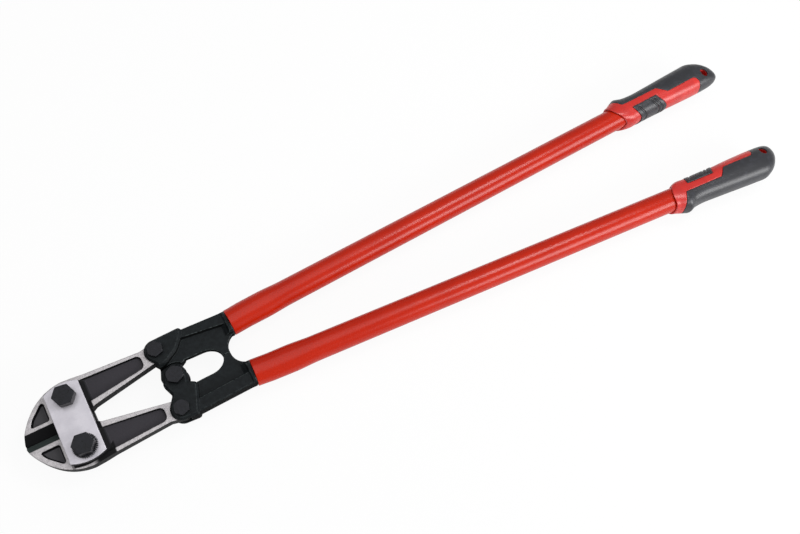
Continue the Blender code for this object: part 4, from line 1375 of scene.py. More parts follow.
@dataclass
class Jaw:
    """One forged jaw: blade, eye for the jaw bolt, hollowed arm and eye for the handle bolt.

    Stations and heights are those of the upper jaw. The arm's slope is in degrees.
    """

    shop: Workshop
    half: Half
    crown: Flat = mm(58.5, 52.3)
    shoulder: Flat = mm(70.0, 51.6)
    brow: Flat = mm(40.0, 48.2)
    cheek: Flat = mm(23.0, 37.7)
    nose: Flat = mm(8.2, 20.3)
    tip_height: float = 3.0 * MM
    bevel_front: float = 12.5 * MM
    bevel_back: float = 8.6 * MM
    bevel_past: float = 1.5 * MM
    blade_length: float = 44.0 * MM
    edge_land: float = 0.8 * MM
    relief_run: float = 2.0 * MM
    relief_drop: float = 2.4 * MM
    relief_end: float = 4.0 * MM
    recess_depth: float = 4.0 * MM
    draft: float = 0.6 * MM
    nose_slope: float = 1.2 * MM
    nose_shift: float = 1.2 * MM
    shoulder_run: float = 9.0 * MM
    arm_start: Flat = mm(83.0, 10.4)
    arm_slope: float = 10.9
    rim_inner: float = 6.2 * MM
    rim_outer: float = 5.6 * MM
    outer_start: float = 50.1 * MM
    outer_end: Flat = mm(150.0, 46.3)
    tang_radius: float = 11.7 * MM
    tang_end: float = 100.0
    hollow_end: float = 147.8 * MM
    hollow_taper: float = 2.4 * MM
    hollow_corner: float = 2.5 * MM
    hollow_round: float = 6.0 * MM
    nose_hollow: tuple[Corner, ...] = mm(
        (12.2, 15.1, 1.6), (33.6, 15.1, 2.6), (33.6, 38.5, 2.4), (29.2, 36.0, 6.0),
        (16.5, 23.5, 20.0))
    jaw_bolt_radius: float = 7.0 * MM
    handle_bolt_radius: float = 5.0 * MM
    voxel: float = 0.42 * MM

    def inner(self, x: float) -> float:
        """Y of the arm's inner edge at a station."""
        return self.arm_start[1] + (x - self.arm_start[0]) * math.tan(math.radians(self.arm_slope))

    def outer(self, x: float) -> float:
        """Y of the arm's outer edge at a station."""
        share = (x - self.arm_start[0]) / (self.outer_end[0] - self.arm_start[0])
        return self.outer_start + (self.outer_end[1] - self.outer_start) * share

    def outline(self) -> list[Flat]:
        """Outline from the nose along the cutting edge and back round.

        Returns:
            The outline, counter-clockwise.
        """
        low = self.arm_start[1] - self.relief_drop
        nose = arc_through(self.cheek, self.nose, (0.0, self.tip_height))
        return [
            (0.0, 0.0),
            (self.blade_length, 0.0),
            (self.blade_length + self.relief_run, low),
            (self.arm_start[0] - self.relief_end, low),
            self.arm_start,
            *arc(*self.shop.datum.handle_bolt, self.tang_radius, self.arm_slope - 90.0,
                 self.tang_end),
            self.outer_end,
            (self.arm_start[0], self.outer_start),
            self.shoulder,
            *arc_through(self.crown, self.brow, self.cheek),
            *nose[1:],
        ]

    def arm_hollow(self, grow: float, run: float) -> list[Flat]:
        """Outline of the hollow in the arm.

        Args:
            grow: How far it is grown all round.
            run: How far it is lengthened at its front.

        Returns:
            The outline, counter-clockwise.
        """
        front = self.arm_start[0] - run
        rear = self.hollow_end
        return offset(rounded([
            (front, self.inner(self.arm_start[0]) + self.rim_inner, self.hollow_corner),
            (rear, self.inner(rear) + self.rim_inner - self.hollow_taper, self.hollow_round),
            (rear, self.outer(rear) - self.rim_outer + self.hollow_taper / 2, self.hollow_round),
            (front, self.outer(front) - self.rim_outer, self.hollow_corner),
        ]), grow)

    def cut_bevel(self, jaw: bpy.types.Object, side: int) -> None:
        """Grind one face of the blade down to its edge, deeper on the front face.

        Args:
            jaw: The jaw.
            side: 1 for the front face and -1 for the back.
        """
        run = self.bevel_front if side > 0 else self.bevel_back
        half = self.shop.datum.jaw_half
        rise = half - self.edge_land / 2
        section = [
            (run * (1 + BEYOND / rise), side * (half + BEYOND)),
            (-run * BEYOND / rise, side * (self.edge_land / 2 - BEYOND)),
            (-2 * run, side * (half + BEYOND)),
        ]
        ends = (-BEYOND, self.blade_length + self.bevel_past)
        cut(jaw, loft("bevel", [[(x, y, z) for y, z in section] for x in ends]))

    def cut_hollows(self, jaw: bpy.types.Object, side: int) -> None:
        """Sink the hollows of the arm and the nose into one face.

        Args:
            jaw: The jaw.
            side: 1 for the front face and -1 for the back.
        """
        half = self.shop.datum.jaw_half
        floor = side * (half - self.recess_depth)
        above = side * (half + MM)
        cut(jaw, stack("arm hollow", [(self.arm_hollow(0.0, 0.0), floor),
                                      (self.arm_hollow(self.draft, self.shoulder_run), above)]))
        nose = rounded([(x, y + side * self.nose_shift, radius)
                        for x, y, radius in self.nose_hollow])
        cut(jaw, stack("nose hollow", [(offset(nose, -self.nose_slope), floor),
                                       (offset(nose, self.draft), above)]))

    def build(self) -> None:
        """Build the jaw and put it in place."""
        datum = self.shop.datum
        half = datum.jaw_half
        jaw = prism("jaw", self.outline(), -half, half)
        for side in (1, -1):
            self.cut_bevel(jaw, side)
            self.cut_hollows(jaw, side)
        drill(jaw, datum.jaw_bolt, self.jaw_bolt_radius + GAP, -2 * half, 2 * half)
        drill(jaw, datum.handle_bolt, self.handle_bolt_radius + GAP, -2 * half, 2 * half)
        soften(jaw, self.voxel)
        self.shop.place(jaw, f"jaw_{self.half.value}", "forged",
                        self.shop.finishes.jaw[self.half], Slot.JAW, self.half)


# ================================================================ knuckles
@dataclass
class Knuckle:
    """One forged knuckle: forked ear, half-lap lug, web, ridge, stop and tongue.

    Places are measured from the centre bolt, on the upper half. Ends of arcs are in degrees.
    """

    shop: Workshop
    half: Half
    line: "HandleLine"
    chamfer_width: float = 2.8 * MM
    chamfer_height: float = 3.0 * MM
    corner: float = 3.6 * MM
    pad_outer: float = 53.0 * MM
    ear_radius: float = 13.6 * MM
    ear_ends: Flat = (90.0, 214.0)
    lug_radius: float = 13.4 * MM
    lug_ends: Flat = (212.0, 360.0)
    throat: tuple[Flat, ...] = mm((11.0, 12.0), (17.5, 16.0), (19.4, 20.0))
    crest_x: float = 7.4 * MM
    neck_y: float = 30.0 * MM
    neck: tuple[Corner, ...] = mm((-11.6, 20.0, 5.0), (-17.2, 5.0, 6.0), (-12.0, -6.0, 0.0))
    # The front pad's inner edge, and how its tail goes on and where it ends on either half.
    chin: tuple[Corner, ...] = mm((-13.4, 21.2, 3.0), (-12.8, 15.0, 3.6), (-3.0, 18.6, 6.0))
    tail_upper: tuple[Corner, ...] = mm((14.0, 28.5, 30.0), (26.2, 44.0, 10.0))
    tail_upper_end: float = 28.0 * MM
    tail_lower: tuple[Corner, ...] = mm((5.2, 29.0, 8.0))
    tail_lower_end: float = 9.8 * MM
    ridge_half: float = 10.0 * MM
    ridge_outer: Flat = mm(50.2, 48.3)
    ridge_inner: Flat = mm(36.2, 33.2)
    ridge_draft: float = 1.6 * MM
    ridge_narrowed: float = 5.6 * MM
    ridge_start: float = 9.0 * MM
    ridge_edge: float = 1.2 * MM
    web_half: float = 4.5 * MM
    web_bend: float = 24.0 * MM
    # From the ear's centre.
    web_shoulder: Flat = mm(-6.0, -5.0)
    web_neck: tuple[Flat, ...] = mm((-9.5, 19.0), (-10.0, 7.0), (6.0, 5.0), (11.0, 12.0))
    # Half of the oval window between the knuckles, and the land before it.
    oval_land: Flat = mm(17.5, 0.6)
    oval_half: float = 15.0 * MM
    oval_centre: float = 38.9 * MM
    oval_step: int = 5
    stop_front: float = 58.2 * MM
    rear_hollow: Corner = mm(86.0, 2.0, 18.2)
    rear_hollow_end: float = 112.0
    ferrule_front: float = 71.2 * MM
    ferrule_rear: float = 83.5 * MM
    ferrule_inner: float = 20.2 * MM
    ferrule_half: float = 12.0 * MM
    ferrule_slope: float = 5.0 * MM
    ferrule_edge: float = 2.8 * MM
    seam_inset: float = 1.0 * MM
    # Length, width and thickness.
    tongue: Point = mm(34.0, 22.0, 18.0)
    tongue_corner: float = 4.0 * MM
    tongue_step: float = 10.0
    tang_radius: float = 11.7 * MM
    tang_margin: float = 1.3 * MM
    slot_opened: float = 42.4
    arm_slope: float = 10.9
    # How far the two lugs wander from one another, and where the lap's arc is centred, as
    # shares of that.
    play: float = 3.9 * MM
    lap_shift: Flat = (0.3, 0.85)
    lap_margin: float = 1.4 * MM
    lap_end: float = 100.0
    lap_step: Flat = mm(-12.5, 16.0)
    handle_bolt_radius: float = 5.0 * MM
    centre_bolt_radius: float = 6.0 * MM
    voxel: float = 0.55 * MM
    passes: int = 4

    @property
    def pad_half(self) -> float:
        """Half the thickness across the pads."""
        return extent(f"knuckle_{self.half.value}").z / 2

    @property
    def ear(self) -> Flat:
        """Centre of the ear, from the centre bolt."""
        x, y = self.shop.datum.handle_bolt
        return x - self.shop.datum.centre_bolt_x, y

    def shift(self, points: Iterable[Flat]) -> list[Flat]:
        """Move points measured from the centre bolt to the tool's stations."""
        return [(x + self.shop.datum.centre_bolt_x, y) for x, y in points]

    def ear_arc(self) -> list[Flat]:
        """Rounded front of the ear, from its outer side round to its inner side."""
        return arc(*self.ear, self.ear_radius, *self.ear_ends)

    def web(self) -> list[Flat]:
        """Outline of the web, from its outer rear corner round to the stop.

        Returns:
            The outline.
        """
        hollow_x, hollow_y, hollow_radius = self.rear_hollow
        start = math.degrees(math.asin((GAP / 2 - hollow_y) / hollow_radius))
        oval = [(self.oval_centre + (self.stop_front - self.oval_centre) * math.cos(span),
                 GAP / 2 + (self.oval_half - GAP / 2) * math.sin(span))
                for span in map(math.radians, range(90, -1, -self.oval_step))]
        rear = self.ferrule_rear - self.seam_inset
        ear_x, ear_y = self.ear
        return [
            (rear, self.ridge_outer[1] - GAP),
            (self.web_bend, self.ridge_outer[0] - GAP),
            (ear_x, self.ridge_outer[0] - GAP),
            (ear_x + self.web_shoulder[0], ear_y + self.web_shoulder[1]),
            *self.web_neck,
            (self.oval_land[0], self.oval_half + self.oval_land[1]),
            *oval,
            *arc(hollow_x, hollow_y, hollow_radius, 180.0 - start, self.rear_hollow_end),
            (rear, self.ferrule_inner - self.seam_inset),
        ]

    def back_pad(self) -> list[Flat]:
        """Outline of the pad that is ear and lug in one.

        Returns:
            The outline.
        """
        ear_x = self.ear[0]
        outer = rounded([(*self.throat[-1], 0.0), (self.crest_x, self.pad_outer, self.corner),
                         (ear_x, self.pad_outer, 0.0)])[1:-1]
        neck = rounded([(ear_x - self.ear_radius, self.neck_y, 0.0), *self.neck])[1:-1]
        return [*arc(0.0, 0.0, self.lug_radius, *self.lug_ends), *self.throat, *outer,
                *self.ear_arc(), *neck]

    def front_pad(self) -> list[Flat]:
        """Outline of the pad that is only an ear, with a longer tail on the upper half.

        Returns:
            The outline.
        """
        tail, end = ((self.tail_upper, self.tail_upper_end) if self.half is Half.UPPER
                     else (self.tail_lower, self.tail_lower_end))
        return self.ear_arc() + rounded([*self.chin, *tail, (end, self.pad_outer, self.corner),
                                         (self.ear[0], self.pad_outer, 0.0)])[:-1]

    def pad(self, outline: Sequence[Flat], side: int) -> bpy.types.Object:
        """Build a pad from the middle plane out to its chamfered face.

        Args:
            outline: Its outline.
            side: 1 for the front and -1 for the back.

        Returns:
            The new object.
        """
        flat = self.shift(outline)
        return stack("pad", [
            (flat, -side * self.web_half / 2),
            (flat, side * (self.pad_half - self.chamfer_height)),
            (offset(flat, -self.chamfer_width), side * self.pad_half),
        ])

    def ridge_outline(self, draft: float, edge: float, narrowed: float) -> list[Flat]:
        """Outline of the ridge at one level.

        Args:
            draft: How far its inner side stands out.
            edge: How far its outer side stands back.
            narrowed: How much narrower it starts.

        Returns:
            The outline.
        """
        rear = self.ferrule_rear - 2 * self.seam_inset
        return self.shift([
            (self.ridge_start, self.ridge_inner[0] + narrowed - draft),
            (rear, self.ridge_inner[1] - draft),
            (rear, self.ridge_outer[1] - edge),
            (self.ridge_start, self.ridge_outer[0] + GAP - edge),
        ])

    def ridge(self) -> bpy.types.Object:
        """Build the thick ridge along the outer edge, narrower on its front.

        Returns:
            The new object.
        """
        levels = ((0.0, self.ridge_edge, self.ridge_half),
                  (0.0, 0.0, self.ridge_half - self.ridge_edge),
                  (self.ridge_draft, 0.0, self.web_half / 2))
        lower, upper = ([(self.ridge_outline(draft, edge, narrowed), side * level)
                         for draft, edge, level in levels]
                        for side, narrowed in ((-1, 0.0), (1, self.ridge_narrowed)))
        return stack("ridge", lower + upper[::-1])

    def ferrule_outline(self, slope: float, inset: float) -> list[Flat]:
        """Outline of the ferrule block at one level.

        Args:
            slope: How far its front stands back.
            inset: How far its sides stand in.

        Returns:
            The outline.
        """
        front, rear = self.ferrule_front + slope, self.ferrule_rear
        outer = self.ridge_outer[1] + GAP - inset
        inner = self.ferrule_inner + inset
        return self.shift([(front, inner), (rear, inner), (rear, outer), (front, outer)])

    def ferrule(self) -> bpy.types.Object:
        """Build the block that the tube butts against.

        Returns:
            The new object.
        """
        levels = (
            (self.ferrule_outline(self.ferrule_slope + self.ferrule_edge / 2, self.ferrule_edge),
             self.ferrule_half),
            (self.ferrule_outline(self.ferrule_slope, 0.0), self.ferrule_half - self.ferrule_edge),
            (self.ferrule_outline(0.0, 0.0), self.web_half))
        return stack("ferrule", [(shape, -level) for shape, level in levels]
                     + list(reversed(levels)))

    def fork(self) -> list[Flat]:
        """Outline of the slot that the jaw's tang turns in.

        Returns:
            The outline.
        """
        eye = arc(*self.ear, self.tang_radius + self.tang_margin, self.arm_slope - 90.0,
                  self.slot_opened)
        far = 3 * self.ear_radius
        top = self.pad_outer + 2 * BEYOND
        run = (top - eye[-1][1]) / math.tan(math.radians(self.slot_opened + 90.0))
        drop = far * math.tan(math.radians(self.arm_slope))
        return [(eye[0][0] - far, eye[0][1] - drop), *eye, (eye[-1][0] + run, top),
                (eye[0][0] - far, top)]

    def lap(self) -> list[Flat]:
        """Outline cleared in front of the lug for the other knuckle's lug.

        Returns:
            The outline.
        """
        far = 3 * self.lug_radius
        centre_x, centre_y = (share * self.play for share in self.lap_shift)
        radius = self.lug_radius + self.lap_margin
        return [(-far, -far), (centre_x + radius, -far),
                *arc(centre_x, centre_y, radius, 0.0, self.lap_end),
                self.lap_step, (-far, self.lap_step[1])]

    def tube_seat(self) -> bpy.types.Object:
        """Build the cutter that squares the ferrule off where the tube starts.

        Returns:
            The new object.
        """
        reach = 2 * self.pad_half
        square = [(-GAP, -reach), (reach, -reach), (reach, reach), (-GAP, reach)]
        return loft("tube seat", [[self.line.point(along, across, height)
                                   for along, across in square] for height in (-reach, reach)])

    def tongue_in_tube(self) -> bpy.types.Object:
        """Build the tongue that stands inside the tube.

        Returns:
            The new object.
        """
        length, width, thick = self.tongue
        section = rounded([(x * width / 2, y * thick / 2, self.tongue_corner)
                           for x, y in ((-1, -1), (1, -1), (1, 1), (-1, 1))], self.tongue_step)
        return loft("tongue", [[self.line.point(along, across, height)
                                for across, height in section]
                               for along in (-self.tongue_corner, length)])

    def build(self) -> None:
        """Build the knuckle and put it in place."""
        datum = self.shop.datum
        reach = 2 * self.pad_half
        fork_half = datum.jaw_half + GAP
        centre_hole = self.centre_bolt_radius + GAP
        if self.half is Half.UPPER:
            centre_hole += self.play
        knuckle = prism("knuckle", self.shift(self.web()), -self.web_half, self.web_half)
        for part in (self.pad(self.back_pad(), -1), self.pad(self.front_pad(), 1), self.ridge(),
                     self.ferrule()):
            join(knuckle, part)
        cut(knuckle, prism("fork", self.shift(self.fork()), -fork_half, fork_half))
        cut(knuckle, prism("lap", self.shift(self.lap()), -GAP / 2, reach))
        drill(knuckle, datum.handle_bolt, self.handle_bolt_radius + GAP, -reach, reach)
        drill(knuckle, (datum.centre_bolt_x, 0.0), centre_hole, -reach, reach)
        cut(knuckle, self.tube_seat())
        join(knuckle, self.tongue_in_tube())
        soften(knuckle, self.voxel, self.passes)
        self.shop.place(knuckle, f"knuckle_{self.half.value}", "forged",
                        self.shop.finishes.forging, Slot.FORGING, self.half)


# ================================================================ handles
@dataclass(frozen=True)
class HandleLine:
    """The straight line that a tube and its grip follow, from the tube's front end.

    The line would cross the jaws' tip at tip_y. The angle is in degrees.
    """

    front_x: float = 257.0 * MM
    tip_y: float = 20.46 * MM
    angle: float = 3.39

    def point(self, along: float, across: float, height: float) -> Point:
        """Place of a point beside the line.

        Args:
            along: Distance along the line.
            across: Distance to its left.
            height: Height above the middle plane.

        Returns:
            The place in the tool's stations.
        """
        turn = math.radians(self.angle)
        front_y = self.tip_y + self.front_x * math.tan(turn)
        return (self.front_x + along * math.cos(turn) - across * math.sin(turn),
                front_y + along * math.sin(turn) + across * math.cos(turn), height)


@dataclass
class Tube:
    """Painted steel tube, pressed a little flat over the knuckle's tongue."""

    shop: Workshop
    half: Half
    line: HandleLine
    radius: float = 16.0 * MM
    wall: float = 2.2 * MM
    lip: float = 0.7 * MM
    lip_step: int = 15
    seam_x: float = 867.0 * MM
    in_grip: float = 95.0 * MM
    # Distance from the front end, then the half width, half thickness and middle there.
    formed: tuple[tuple[float, ...], ...] = mm(
        (0.0, 16.75, 15.0, -0.8), (23.0, 17.0, 15.0, 0.0), (46.0, 17.25, 15.0, 0.0),
        (78.0, 16.0, 16.0, 0.0))
    formed_step: float = 4.0 * MM
    formed_rings: int = 20
    # Where the straight part's rings lie, as shares of the length.
    straight_rings: tuple[float, ...] = (0.2, 0.35, 0.5, 0.65, 0.8, 0.9)
    sides: int = 96
    sharp_angle: float = 35.0

    @property
    def length(self) -> float:
        """Length of the tube."""
        seam = (self.seam_x - self.line.front_x) / math.cos(math.radians(self.line.angle))
        return seam + self.in_grip

    def section(self, along: float) -> tuple[float, ...]:
        """Shape of the tube at one place.

        Args:
            along: Distance from the front end.

        Returns:
            Half width, half thickness and middle.
        """
        for before, after in zip(self.formed, self.formed[1:]):
            if along <= after[0]:
                share = (along - before[0]) / (after[0] - before[0])
                return blend(before[1:], after[1:], share * share * (3 - 2 * share))
        return self.radius, self.radius, 0.0

    def ring(self, along: float, inset: float) -> list[Point]:
        """One ring of the tube.

        Args:
            along: Distance from the front end.
            inset: How far it is moved inward.

        Returns:
            The ring's points.
        """
        width, thick, centre = self.section(along)
        return [self.line.point(along, centre + (width - inset) * cosine, (thick - inset) * sine)
                for cosine, sine in directions(self.sides)]

    def build(self) -> None:
        """Build the tube and put it in place."""
        lip = [(self.lip * (1 - math.cos(turn)), self.lip * (1 - math.sin(turn)))
               for turn in map(math.radians, range(0, 91, self.lip_step))]
        rear = self.length
        steps = [self.formed_step * (index + 1) for index in range(self.formed_rings)]
        steps += [rear * share for share in self.straight_rings]
        outside = [self.ring(along, inset) for along, inset in lip]
        outside += [self.ring(along, 0.0) for along in steps]
        outside += [self.ring(rear - along, inset) for along, inset in reversed(lip)]
        inside = [self.ring(along, self.wall) for along in (rear, *reversed(steps), 0.0)]
        tube = loft("tube", outside + inside, looped=True)
        tube.data.shade_smooth()
        tube.data.set_sharp_from_angle(angle=math.radians(self.sharp_angle))
        self.shop.place(tube, f"tube_{self.half.value}", "painted", self.shop.finishes.paint,
                        Slot.PAINT, self.half)


# ================================================================ grips
# Distance along a grip, then how far palm side, finger side and faces stand from its middle.
Station = tuple[float, ...]


@dataclass
class Grip:
    """One grip: red core, dark overmould on the palm side and a ribbed insert for the fingers.

    Stations are measured along the handle from the seam between tube and grip. The twist on the
    tube is in degrees.
    """

    shop: Workshop
    half: Half
    line: HandleLine
    tube: Tube
    twist: float = -11.0
    seam_slope: float = 0.40
    seam_curve: float = 5.5 * MM
    seam_fade: float = 40.0 * MM
    squareness: float = 2.3
    sides: int = 120
    spacing: float = 1.6 * MM
    skin: float = 2.4 * MM
    tail_start: float = 101.0 * MM
    tail_inset: float = 6.0 * MM
    insert_raise: float = 0.9 * MM
    insert_start: float = 29.8 * MM
    insert_end: float = 74.2 * MM
    insert_edge: float = -6.0 * MM
    insert_depth: float = 1.2 * MM
    # The insert's bowed ends: steps from the middle of the bow to its side, and past it.
    bow_front: float = 9.5 * MM
    bow_rear: float = 13.0 * MM
    bow_half: float = 18.0 * MM
    bow_steps: int = 15
    bow_past: int = 3
    groove_width: float = 2.8 * MM
    groove_depth: float = 1.2 * MM
    groove_margin: float = 2.6 * MM
    grooves: tuple[float, ...] = mm(6.8, 30.0, 35.8)
    hole_from_end: float = 24.0 * MM
    hole_across: float = -9.0 * MM
    hole_size: Flat = mm(10.5, 13.0)
    hole_step: int = 6
    voxel: float = 0.55 * MM
    # Stations from the seam on. Palm, finger side and faces are given past the tube's radius.
    front: tuple[Station, ...] = mm(
        (0.0, 2.4, 2.4, 2.0), (4.5, 3.6, 4.0, 2.4), (10.0, 6.4, 5.0, 2.6), (14.8, 8.6, 5.3, 2.7),
        (18.2, 9.9, 5.3, 2.7), (22.4, 9.0, 5.1, 2.5), (30.0, 6.4, 4.7, 2.2),
        (47.0, 4.4, 4.3, 2.0), (77.0, 5.0, 5.0, 2.2), (108.0, 6.2, 6.6, 2.6))
    # The same, with the distance from the end.
    rear: tuple[Station, ...] = mm(
        (49.5, 7.4, 7.8, 2.8), (34.0, 7.6, 7.9, 2.4), (28.0, 5.8, 7.9, 1.9),
        (19.5, 1.6, 7.7, 0.6), (13.0, -3.8, 7.0, -1.4), (7.2, -10.0, 5.6, -4.6),
        (3.2, -16.2, 3.4, -8.4), (1.0, -21.4, 1.2, -11.4), (0.0, -25.8, -1.0, -14.2))
    # Corners of the overmould's edge on the faces: from the seam on, and past the end.
    palm_front: tuple[Corner, ...] = mm(
        (-20.0, 56.0, 0.0), (8.0, 27.0, 0.0), (19.0, 5.2, 3.0), (82.6, 4.4, 5.0),
        (95.0, -9.0, 5.0))
    palm_rear: tuple[Corner, ...] = mm(
        (-46.5, -9.0, 4.0), (-42.5, -12.0, 4.0), (-39.8, -18.0, 5.0), (-42.5, -30.0, 6.0),
        (-42.5, -40.0, 0.0), (20.0, -40.0, 0.0), (20.0, 56.0, 0.0))
    palm_step: float = 6.0

    @property
    def seam_at(self) -> float:
        """Distance of the seam from the tube's front end."""
        return self.tube.length - self.tube.in_grip

    @property
    def length(self) -> float:
        """Length of the grip.

        Returns:
            The length, at which the grip's end reaches the CAD model's.
        """
        turn = math.radians(self.line.angle)
        finger = (self.tube.radius + self.rear[-1][2]) * math.cos(math.radians(self.twist))
        total = self.shop.datum.length
        return (total - self.tube.seam_x - finger * math.sin(turn)) / math.cos(turn)

    def palm_edge(self, grow: float = 0.0) -> list[Flat]:
        """Edge of the overmould on the faces.

        Args:
            grow: How far it is moved outward.

        Returns:
            The edge as (distance from the seam, across) points.
        """
        rear = [(self.length + x, y, radius) for x, y, radius in self.palm_rear]
        return offset(rounded([*self.palm_front, *rear], self.palm_step), grow)

    def point(self, along: float, across: float, height: float) -> Point:
        """Place of a point of the grip, which is turned a little on the tube.

        Args:
            along: Distance from the seam.
            across: Distance from the middle towards the palm side.
            height: Distance from the middle towards the front face.

        Returns:
            The place in the tool's stations.
        """
        turn = math.radians(self.twist)
        return self.line.point(self.seam_at + along,
                               across * math.cos(turn) - height * math.sin(turn),
                               across * math.sin(turn) + height * math.cos(turn))

    def fine_stations(self) -> list[Station]:
        """Stations on a smooth curve through the chosen ones.

        Returns:
            The stations, the first and the last chosen ones included.
        """
        rear = [(self.length - along, *sizes) for along, *sizes in self.rear]
        chosen = [Vector((along, *(self.tube.radius + size for size in sizes)))
                  for along, *sizes in (*self.front, *rear)]
        ends = [2 * chosen[0] - chosen[1], *chosen, 2 * chosen[-1] - chosen[-2]]
        fine: list[Station] = []
        for before, start, end, after in zip(ends, ends[1:], ends[2:], ends[3:]):
            knots = [0.0]
            for near, far in ((before, start), (start, end), (end, after)):
                knots.append(knots[-1] + math.sqrt((far - near).length))
            count = max(2, math.ceil((end - start).length / self.spacing))
            for step in range(count):
                at = knots[1] + (knots[2] - knots[1]) * step / count
                fine.append(tuple(self.curve((before, start, end, after), knots, at)))
        fine.append(tuple(chosen[-1]))
        return fine

    @staticmethod
    def curve(points: Sequence[Vector], knots: Sequence[float], at: float) -> Vector:
        """Point on the smooth curve between the middle two of four points.

        Args:
            points: The four points.
            knots: How far along the curve each of them lies.
            at: How far along the curve the wanted point lies.

        Returns:
            The point.
        """
        def between(first: Vector, second: Vector, low: float, high: float) -> Vector:
            """Point between two that lie at low and high along the curve."""
            share = (at - low) / (high - low)
            return first * (1 - share) + second * share
        sides = [between(points[i], points[i + 1], knots[i], knots[i + 1]) for i in range(3)]
        spans = [between(sides[i], sides[i + 1], knots[i], knots[i + 2]) for i in range(2)]
        return between(spans[0], spans[1], knots[1], knots[2])

    def station_at(self, along: float) -> Station:
        """Station at any place.

        Args:
            along: Distance from the seam.

        Returns:
            The station.
        """
        stations = self.fine_stations()
        for before, after in zip(stations, stations[1:]):
            if before[0] <= along <= after[0]:
                return blend(before, after, (along - before[0]) / (after[0] - before[0]))
        return stations[-1]

    def ring(self, station: Station, grow: float = 0.0) -> list[Point]:
        """One ring of the grip, sheared near the seam so that the seam is slanted.

        Args:
            station: Where the ring lies and its sizes.
            grow: How far it is moved outward.

        Returns:
            The ring's points.
        """
        along, palm, finger, thick = station
        centre = (palm - finger) / 2
        half = (palm + finger) / 2 + grow
        fade = max(0.0, 1.0 - along / self.seam_fade)
        bend = self.seam_curve / self.tube.radius ** 2
        power = 2 / self.squareness
        ring = []
        for cosine, sine in directions(self.sides):
            across = centre + half * math.copysign(abs(cosine) ** power, cosine)
            height = (thick + grow) * math.copysign(abs(sine) ** power, sine)
            shear = (bend * across - self.seam_slope) * across * fade
            ring.append(self.point(along + shear, across, height))
        return ring

    def body(self, grow: float = 0.0) -> bpy.types.Object:
        """Whole outer shape of the grip, grown all round."""
        return loft("grip", [self.ring(station, grow) for station in self.fine_stations()])

    def tail(self, grow: float) -> bpy.types.Object:
        """Build the core's solid rear part, which the overmould wraps.

        Args:
            grow: How far it is grown all round.

        Returns:
            The new object.
        """
        start = self.tail_start - grow
        end = self.length - self.tail_inset + grow
        inside = [station for station in self.fine_stations() if start < station[0] < end]
        stations = (self.station_at(start), *inside, self.station_at(end))
        return loft("tail", [self.ring(station, grow - self.skin) for station in stations])

    def through(self, outline: Sequence[Flat]) -> bpy.types.Object:
        """Build a cutter straight through the faces.

        Args:
            outline: Its outline as (distance from the seam, across) points.

        Returns:
            The new object.
        """
        reach = 2 * self.tube.radius
        return loft("cutter", [[self.point(along, across, height) for along, across in outline]
                               for height in (-reach, reach)])

    def across(self, outline: Sequence[Flat]) -> bpy.types.Object:
        """Cutter through the finger side, drawn as (distance from the seam, height)."""
        return loft("cutter", [[self.point(along, across, height) for along, height in outline]
                               for across in (-3 * self.tube.radius, 0.0)])

    def bore(self) -> bpy.types.Object:
        """Build the cutter for the tube's seat.

        Returns:
            The new object.
        """
        radius = self.tube.radius + GAP
        ends = (self.seam_at - 2 * self.tube.radius, self.tube.length + GAP)
        return loft("bore", [[self.line.point(along, radius * cosine, radius * sine)
                              for cosine, sine in directions(self.sides)] for along in ends])

    def bowed(self, along: float) -> list[Flat]:
        """Line across the finger side that bows to the rear.

        Args:
            along: Where its ends lie, from the seam.

        Returns:
            The line as (distance from the seam, height) points.
        """
        rearward = (along - self.insert_start) / (self.insert_end - self.insert_start)
        bow = self.bow_front + (self.bow_rear - self.bow_front) * rearward
        last = self.bow_steps + self.bow_past
        shares = [step / self.bow_steps for step in range(-last, last + 1)]
        return [(along + bow * (1 - share * share), share * self.bow_half) for share in shares]

    def band(self, start: float, end: float, edge: float) -> bpy.types.Object:
        """Build the cutter for a band under the fingers, between two bowed lines.

        Args:
            start: Where the front line's ends lie.
            end: Where the rear line's ends lie.
            edge: How far across the band reaches.

        Returns:
            The new object.
        """
        band = self.across([*self.bowed(end), *reversed(self.bowed(start))])
        low, high = start - 2 * self.bow_rear, end + 2 * self.bow_rear
        reach = -3 * self.tube.radius
        keep(band, self.through([(low, reach), (high, reach), (high, edge), (low, edge)]))
        return band

    def hole(self) -> bpy.types.Object:
        """Build the cutter for the oval hang hole near the end.

        Returns:
            The new object.
        """
        at = self.length - self.hole_from_end
        length, width = self.hole_size
        return self.through([(at + length / 2 * math.cos(turn),
                              self.hole_across + width / 2 * math.sin(turn))
                             for turn in map(math.radians, range(0, 360, self.hole_step))])

    def build_palm(self) -> bpy.types.Object:
        """Build the dark overmould: palm side and end of the grip.

        Returns:
            The new object.
        """
        palm = self.body()
        keep(palm, self.through(self.palm_edge()))
        for tool in (self.bore(), self.tail(GAP), self.hole()):
            cut(palm, tool)
        return palm

    def build_core(self) -> bpy.types.Object:
        """Build the red core: collar, finger side and the tail inside the overmould.

        Returns:
            The new object.
        """
        core = self.body()
        cut(core, self.through(self.palm_edge(GAP)))
        join(core, self.tail(0.0))
        cut(core, self.bore())
        cut(core, self.hole())
        rim = self.body(BEYOND)
        keep(rim, self.band(self.insert_start - GAP, self.insert_end + GAP,
                            self.insert_edge + GAP))
        cut(rim, self.body(-self.insert_depth))
        cut(core, rim)
        return core

